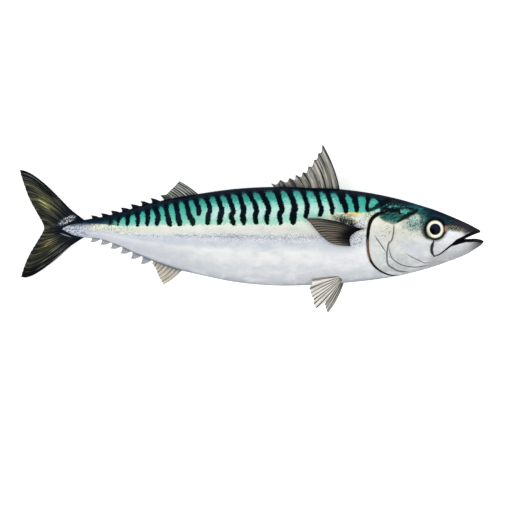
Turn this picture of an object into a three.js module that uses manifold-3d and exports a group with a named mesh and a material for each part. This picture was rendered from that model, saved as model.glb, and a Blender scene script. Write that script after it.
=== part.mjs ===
// A whole fresh Atlantic mackerel, about 33 cm long, lying on its left flank.
// Millimetres. +X points to the snout, +Y to the back and +Z up, out of the right flank.
// The origin is under the middle of the fish, on the surface that it lies on.
import * as THREE from "three";
import { mergeVertices } from "three/addons/utils/BufferGeometryUtils.js";
import Module from "manifold-3d";

const wasm = await Module();
wasm.setup();

// ---- Driving dimensions -------------------------------------------------------------------

const HALF_LENGTH = 167; // snout to the middle, and the middle to the tail's tips
const HALF_SPREAD = 60.5; // height of the first dorsal fin's tip, and depth of a pelvic fin's
const GAP = 0.3; // clearance between a fin or an eye and the flesh round it
const FIN_THICKNESS = 1.0;
const SQUARENESS = 2.1; // 2 makes an elliptical section, and more makes it squarer
const WIDEST_AT = 0.52; // where the body is widest, from the belly (0) to the back (1)
const RINGS = 56; // along the body
const SEGMENTS = 40; // round the body

// Stations along the body: x, y of the back, y of the belly, half the width.
const BODY = [
  [-141, 0.8, -1.6, 0.5],
  [-134, 4.2, -4.9, 1.7],
  [-126, 6.1, -6.8, 3.0],
  [-118, 6.4, -7.0, 4.0],
  [-108, 8.1, -8.6, 5.2],
  [-96, 11.1, -13.0, 7.5],
  [-80, 16.0, -20.4, 10.9],
  [-60, 20.9, -28.2, 14.5],
  [-38, 24.9, -33.6, 17.5],
  [-12, 28.2, -38.9, 20.0],
  [15, 29.8, -41.5, 21.3],
  [40, 29.2, -41.4, 21.5],
  [62, 28.1, -40.0, 21.1],
  [85, 25.2, -37.6, 19.9],
  [105, 21.0, -34.6, 18.0],
  [120, 16.7, -31.0, 15.2],
  [132, 12.7, -27.7, 12.6],
  [144, 8.1, -23.2, 9.5],
  [154, 3.7, -18.8, 6.8],
  [161, 0.1, -14.8, 4.6],
  [165, -2.8, -12.2, 3.0],
  [HALF_LENGTH, -8.6, -10.6, 0.8],
];
const TAIL_END = BODY[0][0];

// Height of the fish's middle plane over the surface: level up to the loins, then the tail sags.
const MIDDLE = [
  [-HALF_LENGTH, 0.9],
  [-150, 2.6],
  [-135, 5.3],
  [-118, 8.8],
  [-90, 14.0],
  [-60, 18.2],
  [-30, 20.1],
  [-5, 20.4],
  [HALF_LENGTH, 20.4],
];

// ---- Curves -------------------------------------------------------------------------------

// The height at x of a smooth curve through the points [x, ..., value in the given column].
function curveAt(points, column, x) {
  const last = points.length - 1;
  const at = Math.min(Math.max(x, points[0][0]), points[last][0]);
  let i = 0;
  while (i < last - 1 && points[i + 1][0] < at) i++;
  const slope = (k) => {
    const a = points[Math.max(k - 1, 0)];
    const b = points[Math.min(k + 1, last)];
    return (b[column] - a[column]) / (b[0] - a[0]);
  };
  const [p, q] = [points[i], points[i + 1]];
  const span = q[0] - p[0];
  const t = (at - p[0]) / span;
  return (
    (2 * t ** 3 - 3 * t ** 2 + 1) * p[column] +
    (t ** 3 - 2 * t ** 2 + t) * span * slope(i) +
    (3 * t ** 2 - 2 * t ** 3) * q[column] +
    (t ** 3 - t ** 2) * span * slope(i + 1)
  );
}

const backAt = (x) => curveAt(BODY, 1, x);
const bellyAt = (x) => curveAt(BODY, 2, x);
const halfWidthAt = (x) => curveAt(BODY, 3, x);
const middleAt = (x) => curveAt(MIDDLE, 1, x);
const widestAt = (x) => bellyAt(x) + WIDEST_AT * (backAt(x) - bellyAt(x));

// Height of the right flank's skin over the middle plane.
function flankAt(x, y) {
  const centre = widestAt(x);
  const reach = y > centre ? backAt(x) - centre : centre - bellyAt(x);
  const share = Math.min(Math.abs(y - centre) / reach, 1);
  return halfWidthAt(x) * (1 - share ** SQUARENESS) ** (1 / SQUARENESS);
}

// ---- Solids -------------------------------------------------------------------------------

function solidOf(geometry) {
  const bare = geometry.clone();
  bare.deleteAttribute("normal");
  bare.deleteAttribute("uv");
  const merged = mergeVertices(bare, 1e-3);
  return new wasm.Manifold(
    new wasm.Mesh({
      numProp: 3,
      vertProperties: new Float32Array(merged.attributes.position.array),
      triVerts: new Uint32Array(merged.index.array),
    }),
  );
}

function geometryOf(solid) {
  const mesh = solid.getMesh();
  const geometry = new THREE.BufferGeometry();
  geometry.setAttribute("position", new THREE.BufferAttribute(mesh.vertProperties, 3));
  geometry.setIndex(new THREE.BufferAttribute(mesh.triVerts, 1));
  geometry.computeVertexNormals();
  return geometry;
}

// Moves every vertex of a geometry with a function of its position.
function reshape(geometry, move) {
  const points = geometry.attributes.position;
  const p = new THREE.Vector3();
  for (let i = 0; i < points.count; i++) {
    p.fromBufferAttribute(points, i);
    move(p);
    points.setXYZ(i, p.x, p.y, p.z);
  }
  return geometry;
}

// The fish's flesh: a sphere drawn out to the stations, its poles at the snout and the tail.
function fleshGeometry(grown) {
  const sphere = new THREE.SphereGeometry(1, SEGMENTS, RINGS);
  const middle = (HALF_LENGTH + TAIL_END) / 2;
  const half = (HALF_LENGTH - TAIL_END) / 2 + grown;
  return reshape(sphere, (p) => {
    const round = Math.hypot(p.x, p.z);
    const x = middle + half * p.y;
    const up = round > 1e-6 ? p.z / round : 0;
    const side = round > 1e-6 ? p.x / round : 0;
    const centre = widestAt(x);
    const reach = (up > 0 ? backAt(x) - centre : centre - bellyAt(x)) + grown;
    const squared = (c) => Math.sign(c) * Math.abs(c) ** (2 / SQUARENESS);
    p.set(x, centre + reach * squared(up), middleAt(x) + (halfWidthAt(x) + grown) * squared(side));
  });
}

const grownFlesh = solidOf(fleshGeometry(GAP));

// A fin: its outline as a thin plate at the middle plane, laid over a height function, less the flesh.
function finSolid(outline, heightAt) {
  const shape = new THREE.Shape(outline.map(([x, y]) => new THREE.Vector2(x, y)));
  const plate = new THREE.ExtrudeGeometry(shape, { depth: FIN_THICKNESS, bevelEnabled: false });
  reshape(plate, (p) => {
    p.z += heightAt(p.x, p.y) - FIN_THICKNESS / 2;
  });
  return solidOf(plate).subtract(grownFlesh);
}

// How far a fin that stands out from the flesh sags under its own weight.
const SAG = 0.004; // per millimetre squared
function saggedAt(x, y) {
  const out = Math.max(y - backAt(x), bellyAt(x) - y, 0);
  return middleAt(x) - SAG * out ** 2;
}

// ---- Colours ------------------------------------------------------------------------------

const SKIN = new THREE.MeshStandardMaterial({ color: 0x8fb0ad, roughness: 0.35, metalness: 0.25 });
const EYE = new THREE.MeshStandardMaterial({ color: 0x16202a, roughness: 0.1, metalness: 0.0 });
const GREY_FIN = new THREE.MeshStandardMaterial({ color: 0x8f8d86, roughness: 0.5, metalness: 0.0 });
const DARK_FIN = new THREE.MeshStandardMaterial({ color: 0x3c3d33, roughness: 0.5, metalness: 0.0 });
const PALE_FIN = new THREE.MeshStandardMaterial({ color: 0xd5d0c4, roughness: 0.5, metalness: 0.0 });
const BACK_FIN = new THREE.MeshStandardMaterial({ color: 0x17232c, roughness: 0.5, metalness: 0.0 });

const mackerel = new THREE.Group();
mackerel.name = "mackerel";

function add(name, solid, material) {
  const mesh = new THREE.Mesh(geometryOf(solid), material);
  mesh.name = name;
  mackerel.add(mesh);
}

// ---- Eyes ---------------------------------------------------------------------------------

// A flattened ball on each side of the head, square to the slope of the skin.
const EYE_AT = [131.6, -1.0];
const EYE_RADII = [6.7, 6.2, 3.2];
const EYE_SUNK = 1.8; // from the skin in to the ball's middle
const EYE_LEAN = new THREE.Vector3(0.25, 0.2, 1).normalize(); // the skin's slope at the eye

function eyeSolid(side, grown) {
  const ball = new THREE.SphereGeometry(1, 24, 14).rotateX(Math.PI / 2);
  ball.scale(...EYE_RADII.map((r) => r + grown));
  const lean = EYE_LEAN.clone().setZ(EYE_LEAN.z * side);
  ball.applyQuaternion(new THREE.Quaternion().setFromUnitVectors(new THREE.Vector3(0, 0, side), lean));
  const [x, y] = EYE_AT;
  const out = flankAt(x, y);
  ball.translate(x, y, middleAt(x) + side * out).translate(...lean.clone().multiplyScalar(-EYE_SUNK));
  return solidOf(ball);
}

// ---- Pectoral fins ------------------------------------------------------------------------

const PECTORAL = [
  [81.0, -0.7],
  [74.2, 1.6],
  [63.9, 4.8],
  [52.9, 6.2],
  [37.9, 6.8],
  [41.9, 3.5],
  [45.6, -1.6],
  [52.9, -8.6],
  [58.5, -12.0],
  [65.8, -13.0],
  [70.8, -12.4],
  [71.0, -7.2],
  [74.2, -3.6],
];
const PECTORAL_ROOT = 81;
const PECTORAL_TIP = 38;
const STAND_OFF = 2.2; // of the upper fin's tip from the skin

// The upper fin lies back along the right flank, with its tip a little off the skin.
const laidBackAt = (x, y) => {
  const share = (PECTORAL_ROOT - x) / (PECTORAL_ROOT - PECTORAL_TIP);
  return middleAt(x) + flankAt(x, y) + FIN_THICKNESS / 2 + GAP + 0.3 + STAND_OFF * share;
};
const rightPectoral = finSolid(PECTORAL, laidBackAt);

// The lower fin is pressed flat into the flank by the fish's weight.
const pressedShape = new THREE.Shape(PECTORAL.map(([x, y]) => new THREE.Vector2(x, y)));
const PRESSED_CENTRE = [60, -2.5];
const RECESS_SCALE = 1.04;
const plateOf = (depth) =>
  new THREE.ExtrudeGeometry(pressedShape, { depth, bevelEnabled: false });
const leftPectoral = solidOf(plateOf(FIN_THICKNESS));
const [centreX, centreY] = PRESSED_CENTRE;
const recess = solidOf(
  plateOf(1 + FIN_THICKNESS + GAP)
    .translate(-centreX, -centreY, -1)
    .scale(RECESS_SCALE, RECESS_SCALE, 1)
    .translate(centreX, centreY, 0),
);

// ---- Body: trunk, head and jaws in one piece ----------------------------------------------

// The parted jaws, as an outline from the side: the upper lip's edge, then the lower lip's.
const MOUTH = [
  [147, -10.9],
  [153.2, -7.2],
  [157.1, -5.6],
  [161.6, -4.3],
  [165.5, -2.2],
  [172, -1.0],
  [172, -11.4],
  [166.6, -9.2],
  [163.9, -8.1],
  [157.1, -7.8],
  [152.0, -8.8],
];
const MOUTH_DEPTH = 40; // right through the snout
const mouthShape = new THREE.Shape(MOUTH.map(([x, y]) => new THREE.Vector2(x, y)));
const mouth = solidOf(
  new THREE.ExtrudeGeometry(mouthShape, { depth: MOUTH_DEPTH, bevelEnabled: false }).translate(
    0,
    0,
    middleAt(HALF_LENGTH) - MOUTH_DEPTH / 2,
  ),
);

// The surface that the fish lies on flattens the flank where the weight rests.
const SLAB = 20;
const slab = solidOf(new THREE.BoxGeometry(500, 200, SLAB).translate(0, 0, -SLAB / 2));

const body = solidOf(fleshGeometry(0))
  .subtract(mouth)
  .subtract(slab)
  .subtract(recess)
  .subtract(eyeSolid(1, GAP))
  .subtract(eyeSolid(-1, GAP));

add("body", body, SKIN);
add("eye_right", eyeSolid(1, 0), EYE);
add("eye_left", eyeSolid(-1, 0), EYE);
add("pectoral_fin_right", rightPectoral, DARK_FIN);
add("pectoral_fin_left", leftPectoral, DARK_FIN);

// ---- Dorsal fins --------------------------------------------------------------------------

// Nine spines, tallest in front, with the web notched between their tips.
const FIRST_DORSAL = [
  [63.6, 26.0],
  [63.4, 29.0],
  [59.6, 42.2],
  [55.0, 53.0],
  [50.8, HALF_SPREAD],
  [49.8, 54.6],
  [48.3, 53.9],
  [47.1, 48.9],
  [45.6, 49.2],
  [43.4, 43.8],
  [40.7, 44.4],
  [39.6, 39.7],
  [37.2, 40.1],
  [35.5, 36.2],
  [31.8, 38.0],
  [30.5, 33.9],
  [27.3, 35.8],
  [24.8, 32.0],
  [20.4, 34.5],
  [19.4, 31.4],
  [13.2, 32.3],
  [13.2, 27.0],
];
add("first_dorsal_fin", finSolid(FIRST_DORSAL, saggedAt), GREY_FIN);

const SECOND_DORSAL = [
  [-36.0, 22.0],
  [-37.9, 25.2],
  [-45.0, 29.6],
  [-52.8, 33.8],
  [-54.6, 31.8],
  [-60.3, 26.0],
  [-66.5, 23.8],
  [-63.6, 18.0],
];
add("second_dorsal_fin", finSolid(SECOND_DORSAL, saggedAt), GREY_FIN);

// ---- Anal and pelvic fins -----------------------------------------------------------------

const ANAL = [
  [-47.5, -28.0],
  [-49.5, -31.0],
  [-56.0, -35.6],
  [-64.1, -40.9],
  [-66.0, -37.9],
  [-67.9, -33.4],
  [-69.6, -29.1],
  [-72.0, -25.0],
  [-69.0, -22.0],
];
add("anal_fin", finSolid(ANAL, saggedAt), PALE_FIN);

// The right pelvic fin is spread over the edge of the belly and slopes down away from it.
const PELVIC_RIGHT = [
  [63.8, -36.2],
  [60.8, -35.2],
  [44.7, -36.8],
  [41.2, -43.9],
  [42.8, -49.3],
  [44.1, -53.8],
  [45.9, -58.0],
  [51.8, -53.8],
  [58.0, -46.4],
  [64.6, -39.6],
];
const PELVIC_RIGHT_RISE = 12.4; // over the middle plane, at the fin's upper edge
const PELVIC_RIGHT_SLOPE = 0.27;
const spreadAt = (x, y) => middleAt(x) + PELVIC_RIGHT_RISE + PELVIC_RIGHT_SLOPE * (y + 36);
add("pelvic_fin_right", finSolid(PELVIC_RIGHT, spreadAt), PALE_FIN);

// The left one hangs from the other side of the belly, its tip sinking to the surface.
const PELVIC_LEFT = [
  [66.2, -36.0],
  [66.4, -39.0],
  [63.8, -46.4],
  [60.8, -52.9],
  [57.8, -57.4],
  [54.6, -HALF_SPREAD],
  [52.6, -56.4],
  [52.9, -53.2],
  [56.7, -47.5],
  [60.6, -36.0],
];
const PELVIC_LEFT_RISE = -4.5;
const PELVIC_LEFT_SLOPE = 0.42;
const hangingAt = (x, y) => middleAt(x) + PELVIC_LEFT_RISE + PELVIC_LEFT_SLOPE * (y + 38);
add("pelvic_fin_left", finSolid(PELVIC_LEFT, hangingAt), GREY_FIN);

// ---- Finlets ------------------------------------------------------------------------------

// A row of little swept-back fins along the edge of the tail stalk, from front to back.
function finlets(name, edgeAt, out, row) {
  for (let i = 0; i < row.count; i++) {
    const tip = row.firstTip - row.pitch * i;
    const rise = row.rise - row.drop * i;
    const front = tip + row.length;
    const outline = [
      [front, edgeAt(front) - out * 1.5],
      [front, edgeAt(front)],
      [tip + row.length * 0.45, edgeAt(tip + row.length * 0.45) + out * rise * 0.5],
      [tip, edgeAt(tip) + out * rise],
      [tip + 1.0, edgeAt(tip) + out * rise * 0.45],
      [tip + 1.4, edgeAt(tip) - out * 1.5],
    ];
    add(`${name}_${i + 1}`, finSolid(out > 0 ? outline : outline.reverse(), saggedAt), row.material);
  }
}

finlets("dorsal_finlet", backAt, 1, {
  count: 7,
  firstTip: -72.5,
  pitch: 7.2,
  rise: 3.6,
  drop: 0.2,
  length: 6.4,
  material: BACK_FIN,
});
finlets("anal_finlet", bellyAt, -1, {
  count: 6,
  firstTip: -79.3,
  pitch: 7.3,
  rise: 4.8,
  drop: 0.45,
  length: 6.4,
  material: PALE_FIN,
});

// ---- Tail fin -----------------------------------------------------------------------------

const CAUDAL = [
  [-121.0, 6.0],
  [-123.8, 7.9],
  [-129.6, 13.0],
  [-141.1, 24.5],
  [-146.9, 30.0],
  [-152.6, 34.7],
  [-158.4, 38.8],
  [-164.2, 41.6],
  [-HALF_LENGTH, 42.0],
  [-164.9, 35.2],
  [-160.3, 22.0],
  [-154.6, 11.4],
  [-150.6, 4.2],
  [-149.3, -0.4],
  [-150.6, -3.6],
  [-154.0, -9.0],
  [-159.6, -18.4],
  [-163.2, -26.8],
  [-HALF_LENGTH, -35.4],
  [-161.3, -35.6],
  [-155.5, -33.2],
  [-149.8, -29.5],
  [-144.0, -25.0],
  [-132.5, -15.1],
  [-126.7, -10.1],
  [-121.0, -6.8],
];
add("caudal_fin", finSolid(CAUDAL, (x) => middleAt(x)), DARK_FIN);

export default mackerel;
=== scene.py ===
"""A whole fresh Atlantic mackerel on its left flank, seen from straight above its right flank.

Lengths in this script are millimetres in the frame's own axes: +X to the snout, +Y to the back, +Z up.
"""

import math

import bmesh
import bpy
import numpy as np
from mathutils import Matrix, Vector


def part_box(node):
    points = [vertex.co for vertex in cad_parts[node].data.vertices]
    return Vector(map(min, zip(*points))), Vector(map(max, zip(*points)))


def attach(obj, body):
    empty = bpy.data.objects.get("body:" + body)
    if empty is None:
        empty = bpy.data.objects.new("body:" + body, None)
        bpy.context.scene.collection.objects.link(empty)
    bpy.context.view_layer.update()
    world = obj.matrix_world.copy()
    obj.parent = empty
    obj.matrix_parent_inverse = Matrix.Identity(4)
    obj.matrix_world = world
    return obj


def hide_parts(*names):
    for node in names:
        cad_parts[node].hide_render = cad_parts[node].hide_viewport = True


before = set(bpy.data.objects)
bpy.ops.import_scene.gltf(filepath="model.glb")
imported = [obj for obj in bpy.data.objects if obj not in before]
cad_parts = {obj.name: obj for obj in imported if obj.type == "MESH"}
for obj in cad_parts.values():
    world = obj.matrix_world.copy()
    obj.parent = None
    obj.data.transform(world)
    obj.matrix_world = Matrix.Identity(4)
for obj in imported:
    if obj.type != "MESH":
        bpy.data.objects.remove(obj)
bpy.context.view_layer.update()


# ---- Flesh: head, jaws and trunk ----------------------------------------------------------
# The muscle, skull and guts under one unbroken skin, which is a single grown piece. The flank
# is pressed flat where it rests, the tail sags, and the jaws are parted at the front.

MM = 0.001
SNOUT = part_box("body")[1].x / MM
STALK_END = -138.5

# x, y of the back, y of the belly, half the width
STATIONS = [
    (STALK_END, -0.2, -0.9, 0.4),
    (-134.0, 1.6, -3.0, 1.4),
    (-129.0, 3.5, -5.2, 2.4),
    (-124.0, 5.2, -6.6, 3.2),
    (-118.0, 6.4, -7.0, 4.0),
    (-108.0, 8.1, -8.6, 5.2),
    (-96.0, 11.1, -13.0, 7.5),
    (-80.0, 16.0, -20.4, 10.9),
    (-60.0, 20.9, -28.2, 14.5),
    (-38.0, 24.7, -33.6, 17.5),
    (-12.0, 28.2, -38.9, 20.0),
    (15.0, 29.6, -41.4, 21.3),
    (40.0, 29.0, -41.2, 21.5),
    (62.0, 28.1, -39.9, 21.1),
    (85.0, 25.2, -37.6, 19.9),
    (105.0, 21.0, -34.6, 18.0),
    (120.0, 16.7, -31.0, 15.2),
    (132.0, 12.9, -27.5, 12.6),
    (144.0, 8.1, -23.2, 9.5),
    (154.0, 3.7, -19.2, 6.9),
    (161.0, 0.1, -15.0, 4.8),
    (165.0, -2.6, -12.3, 3.2),
    (SNOUT, -7.4, -10.9, 1.4),
]

# x, height of the fish's middle plane over the surface that it lies on
SAG = [
    (-167.0, 0.9),
    (-150.0, 2.6),
    (-135.0, 5.3),
    (-118.0, 8.8),
    (-90.0, 14.0),
    (-60.0, 18.2),
    (-30.0, 20.1),
    (-5.0, 20.4),
    (167.0, 20.4),
]


def eased(low, high, value):
    """0 below low, 1 above high, and smooth between them."""
    t = np.clip((value - low) / (high - low), 0.0, 1.0)
    return t * t * (3.0 - 2.0 * t)


def smooth_line(rows, column, x):
    """The height at x of a smooth curve through one column of rows that start with x."""
    table = np.array(rows, float)
    known, value = table[:, 0], table[:, column]
    slope = np.empty_like(value)
    slope[1:-1] = (value[2:] - value[:-2]) / (known[2:] - known[:-2])
    slope[0] = (value[1] - value[0]) / (known[1] - known[0])
    slope[-1] = (value[-1] - value[-2]) / (known[-1] - known[-2])
    x = np.clip(np.asarray(x, float), known[0], known[-1])
    i = np.clip(np.searchsorted(known, x) - 1, 0, len(known) - 2)
    span = known[i + 1] - known[i]
    t = (x - known[i]) / span
    return (
        (2 * t**3 - 3 * t**2 + 1) * value[i]
        + (t**3 - 2 * t**2 + t) * span * slope[i]
        + (3 * t**2 - 2 * t**3) * value[i + 1]
        + (t**3 - t**2) * span * slope[i + 1]
    )


def back_at(x):
    return smooth_line(STATIONS, 1, x)


def belly_at(x):
    return smooth_line(STATIONS, 2, x)


def middle_at(x):
    return smooth_line(SAG, 1, x)


SQUARENESS = 2.1  # 2 is an elliptical section
WIDEST_AT = 0.52  # from the belly (0) to the back (1)


def flank_at(x, y):
    """Height of the right flank's skin over the middle plane."""
    back, belly = back_at(x), belly_at(x)
    centre = belly + WIDEST_AT * (back - belly)
    reach = np.where(y > centre, back - centre, centre - belly)
    share = np.clip(np.abs(y - centre) / reach, 0.0, 1.0)
    return smooth_line(STATIONS, 3, x) * (1.0 - share**SQUARENESS) ** (1.0 / SQUARENESS)


def curve_through(points, steps=5):
    """More points along a smooth curve through the points given."""
    p = np.array(points, float)
    ends = np.vstack([2 * p[0] - p[1], p, 2 * p[-1] - p[-2]])
    t = np.linspace(0, 1, steps, endpoint=False)[:, None]
    made = []
    for a, b, c, d in zip(ends, ends[1:], ends[2:], ends[3:]):
        made.append(
            0.5 * (2 * b + (c - a) * t + (2 * a - 5 * b + 4 * c - d) * t**2 + (3 * b - a - 3 * c + d) * t**3)
        )
    return np.vstack(made + [p[-1:]])


def nearest_on(path, x, y):
    """Distance to a path, the side of it (1 on its left), and how far along the nearest point is."""
    best = np.full(np.shape(x), np.inf)
    side, along, start = np.zeros_like(best), np.zeros_like(best), 0.0
    for (ax, ay), (bx, by) in zip(path, path[1:]):
        dx, dy = bx - ax, by - ay
        length = math.hypot(dx, dy)
        t = np.clip(((x - ax) * dx + (y - ay) * dy) / length**2, 0.0, 1.0)
        away = np.hypot(x - ax - t * dx, y - ay - t * dy)
        closer = away < best
        best = np.where(closer, away, best)
        side = np.where(closer, np.sign(dx * (y - ay) - dy * (x - ax)), side)
        along = np.where(closer, start + t * length, along)
        start += length
    return best, side, along


def length_of(path):
    return np.hypot(*np.diff(path, axis=0).T).sum()


def inside_by(outline, x, y):
    """Distance to a closed outline, positive inside it."""
    closed = np.vstack([outline, outline[:1]])
    away = nearest_on(closed, x, y)[0]
    inside = np.zeros(np.shape(x), bool)
    for (ax, ay), (bx, by) in zip(closed, closed[1:]):
        if ay == by:
            continue
        crosses = (ay > y) != (by > y)
        inside ^= crosses & (x < ax + (y - ay) * (bx - ax) / (by - ay))
    return np.where(inside, away, -away)


# The gill cover's free edge, from its top round to the throat, and the other seams of the head.
GILL_EDGE = curve_through([
    (99.0, 12.2), (95.0, 10.9), (90.4, 9.4), (87.1, 7.0), (85.3, 4.2), (84.3, 0.6), (83.6, -4.6),
    (83.4, -11.0), (84.0, -17.8), (85.9, -24.0), (89.9, -28.8), (95.3, -32.2), (101.0, -33.8),
    (107.0, -34.6),
])
PREOPERCLE = curve_through([
    (101.9, 3.4), (101.5, -4.0), (100.2, -8.9), (98.1, -11.2), (97.3, -15.0), (96.8, -20.0),
    (97.6, -26.0), (101.0, -28.8), (105.4, -31.0), (111.9, -31.6),
])
CHEEK_RIM = curve_through([
    (98.2, -14.0), (100.2, -21.2), (105.0, -25.3), (111.0, -27.5), (118.8, -28.1), (127.0, -26.7),
])
SUBOPERCLE = curve_through([(87.8, -5.4), (91.2, -10.2), (96.3, -17.6)])
CHEEK_FOLD = curve_through([(110.2, -17.9), (114.6, -20.9), (120.2, -23.5), (124.6, -25.2), (128.2, -24.3)])
MAXILLA_END = curve_through([(130.7, -9.2), (129.3, -13.2), (129.1, -17.0), (131.0, -20.6)])

# Each seam with its half width and its depth.
SEAMS = [
    (PREOPERCLE, 0.62, 0.35),
    (CHEEK_RIM, 0.4, 0.28),
    (SUBOPERCLE, 0.46, 0.22),
    (CHEEK_FOLD, 0.32, 0.22),
    (MAXILLA_END, 1.15, 0.5),
]

# The mouth: its line from the corner to the open end, and half the gap along it.
MOUTH_LINE = curve_through([
    (130.9, -20.3), (133.5, -19.6), (136.6, -17.8), (140.5, -14.6), (144.0, -12.0), (147.9, -9.9),
    (151.4, -8.6), (154.0, -7.6), (157.0, -6.8), (161.6, -6.2), (166.0, -6.0), (172.0, -6.3),
])
MOUTH_OPENS_AT = 153.0
UPPER_LIP = curve_through([(153.0, -7.9), (157.1, -5.9), (161.4, -4.2), (163.9, -3.3), (165.2, -2.0)])
LOWER_LIP = curve_through([(153.0, -7.9), (157.1, -7.8), (160.6, -7.7), (163.9, -8.2), (166.4, -9.1)])

EYE = (131.6, -1.0)
EYE_RADIUS = 6.9
EYE_LEAN = Vector((0.24, 0.17, 1.0)).normalized()
NOSTRIL = (142.4, 2.3)


def eye_distance(x, y):
    """Distance from the eye's middle, measured in the slope of the skin."""
    return np.hypot((x - EYE[0]) / 0.972, (y - EYE[1]) / 0.985)


def lips_distance(x, y):
    """Distance from the line where the jaws part."""
    away = np.minimum(nearest_on(UPPER_LIP, x, y)[0], nearest_on(LOWER_LIP, x, y)[0])
    shut = nearest_on(MOUTH_LINE, x, y)[0]
    return np.where(x < MOUTH_OPENS_AT, shut, away)


# How far parts of the head stand out of the plain flank, or sink into it.
COVER_OUT = 0.95
SLOT_IN = 0.85
LIP_ROUND = 1.1
EYE_RING_OUT = 0.55
SOCKET_IN = 3.0
NOSTRIL_IN = 0.7
CHEEK_OUT = 0.5


def relief(x, y):
    """How far the skin of the head stands out of the plain flank, less than 0 where it sinks."""
    away, side, along = nearest_on(GILL_EDGE, x, y)
    length = length_of(GILL_EDGE)
    shown = eased(0.0, 12.0, along) * (1.0 - eased(length - 14.0, length, along))
    ahead = away * side
    cover = COVER_OUT * eased(-0.2, 0.9, ahead) * np.exp(-np.clip(ahead, 0, None) / 10.0)
    slot = -SLOT_IN * np.exp(-(((ahead + 0.9) / 0.9) ** 2))
    out = shown * (cover + slot)
    for path, _, depth in SEAMS:
        out = out - depth * np.exp(-((nearest_on(path, x, y)[0] / 0.75) ** 2))
    parted = np.clip(lips_distance(x, y), 0.0, LIP_ROUND)
    out = out - (LIP_ROUND - np.sqrt(np.clip(LIP_ROUND**2 - (LIP_ROUND - parted) ** 2, 0.0, None)))
    r = eye_distance(x, y)
    out = out + EYE_RING_OUT * np.exp(-(((r - 8.2) / 1.7) ** 2))
    out = out - SOCKET_IN * (1.0 - eased(EYE_RADIUS - 1.2, EYE_RADIUS + 0.5, r))
    hole = np.hypot((x - NOSTRIL[0]) / 1.25, (y - NOSTRIL[1]) / 0.7)
    out = out - NOSTRIL_IN * np.exp(-(hole**2))
    cheek = np.exp(-(((x - 112.0) / 11.0) ** 2) - (((y + 9.0) / 10.0) ** 2))
    return out + CHEEK_OUT * cheek


HALF_SEGMENTS = 118  # along each flank, from the back to the belly
HEAD_FROM = 81.0
HEAD_STEP = 0.45
TRUNK_STEP = 1.06
END_ROUND = 2.2


def ring_stations():
    """Places of the rings along the body, closest on the head and where the ends round off."""
    trunk = np.arange(STALK_END + END_ROUND, HEAD_FROM, TRUNK_STEP)
    head = np.arange(HEAD_FROM, SNOUT - END_ROUND, HEAD_STEP)
    turn = np.linspace(0.0, 1.0, 7)[1:]
    rear = STALK_END + END_ROUND * (1.0 - np.sin(turn[::-1] * math.pi / 2))
    front = SNOUT - END_ROUND * (1.0 - np.sin(turn * math.pi / 2))
    return np.concatenate([rear, trunk, head, front])


def flesh_grid():
    """Points of the plain body, as rings that run down the right flank and up the left one."""
    x = ring_stations()
    from_end = np.minimum(x - STALK_END, SNOUT - x)
    rounding = np.sqrt(np.clip(1.0 - np.clip(1.0 - from_end / END_ROUND, 0, 1) ** 2, 0.0, 1.0))
    back, belly = back_at(x), belly_at(x)
    half_width = smooth_line(STATIONS, 3, x) * rounding
    centre = belly + WIDEST_AT * (back - belly)
    fine = np.linspace(0.0, math.pi, 721)
    cos, sin = np.cos(fine), np.sin(fine)
    power = 2.0 / SQUARENESS
    rings = []
    for i in range(len(x)):
        reach = np.where(cos > 0, back[i] - centre[i], centre[i] - belly[i]) * rounding[i]
        y = centre[i] + reach * np.sign(cos) * np.abs(cos) ** power
        z = half_width[i] * np.abs(sin) ** power
        run = np.concatenate([[0.0], np.cumsum(np.hypot(np.diff(y), np.diff(z)))])
        even = np.linspace(0.0, run[-1], HALF_SEGMENTS + 1)
        y, z = np.interp(even, run, y), np.interp(even, run, z)
        right = np.stack([np.full_like(y, x[i]), y, z], 1)
        left = right[-2:0:-1] * (1, 1, -1)
        rings.append(np.vstack([right, left]))
    return np.array(rings)


def grid_normals(grid):
    """Outward normals of a closed tube of rings."""
    along = np.gradient(grid, axis=0)
    around = np.roll(grid, -1, 1) - np.roll(grid, 1, 1)
    normal = np.cross(around, along)
    return normal / np.maximum(np.linalg.norm(normal, axis=2, keepdims=True), 1e-9)


# The lower pectoral fin's outline, which presses its own shape into the flank that lies on it.
PECTORAL = curve_through([
    (80.4, -0.7), (74.2, 1.6), (63.9, 4.6), (52.9, 6.1), (43.0, 7.0), (37.9, 6.6), (41.9, 3.5),
    (45.6, -1.6), (52.9, -8.6), (58.5, -12.0), (65.8, -12.9), (70.6, -12.6), (69.8, -7.3), (74.2, -3.2),
])
FIN_UNDER = 1.0  # thickness of the fin that the fish lies on
UNDERSIDE = 12.0  # skin lower than this is kept above the fin and the table


def flesh_mesh():
    """The body as a closed mesh, in metres, before the mouth is cut."""
    grid = flesh_grid()
    raised = relief(grid[..., 0], grid[..., 1])
    grid = grid + grid_normals(grid) * raised[..., None]
    x, y = grid[..., 0], grid[..., 1]
    z = grid[..., 2] + middle_at(x)
    floor = FIN_UNDER * eased(-2.2, 0.4, inside_by(PECTORAL, x, y))
    grid[..., 2] = np.where(z < UNDERSIDE, np.maximum(z, floor), z)
    count, around = grid.shape[:2]
    points = list(map(tuple, grid.reshape(-1, 3) * MM))
    faces = []
    for i in range(count - 1):
        for j in range(around):
            k = (j + 1) % around
            faces.append((i * around + j, i * around + k, (i + 1) * around + k, (i + 1) * around + j))
    for ring, turned in ((0, False), (count - 1, True)):
        middle = grid[ring].mean(0) * MM
        points.append(tuple(middle))
        for j in range(around):
            k = (j + 1) % around
            fan = (ring * around + k, ring * around + j, len(points) - 1)
            faces.append(fan[::-1] if turned else fan)
    mesh = bpy.data.meshes.new("flesh")
    mesh.from_pydata(points, [], faces)
    mesh.update()
    return mesh


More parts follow.
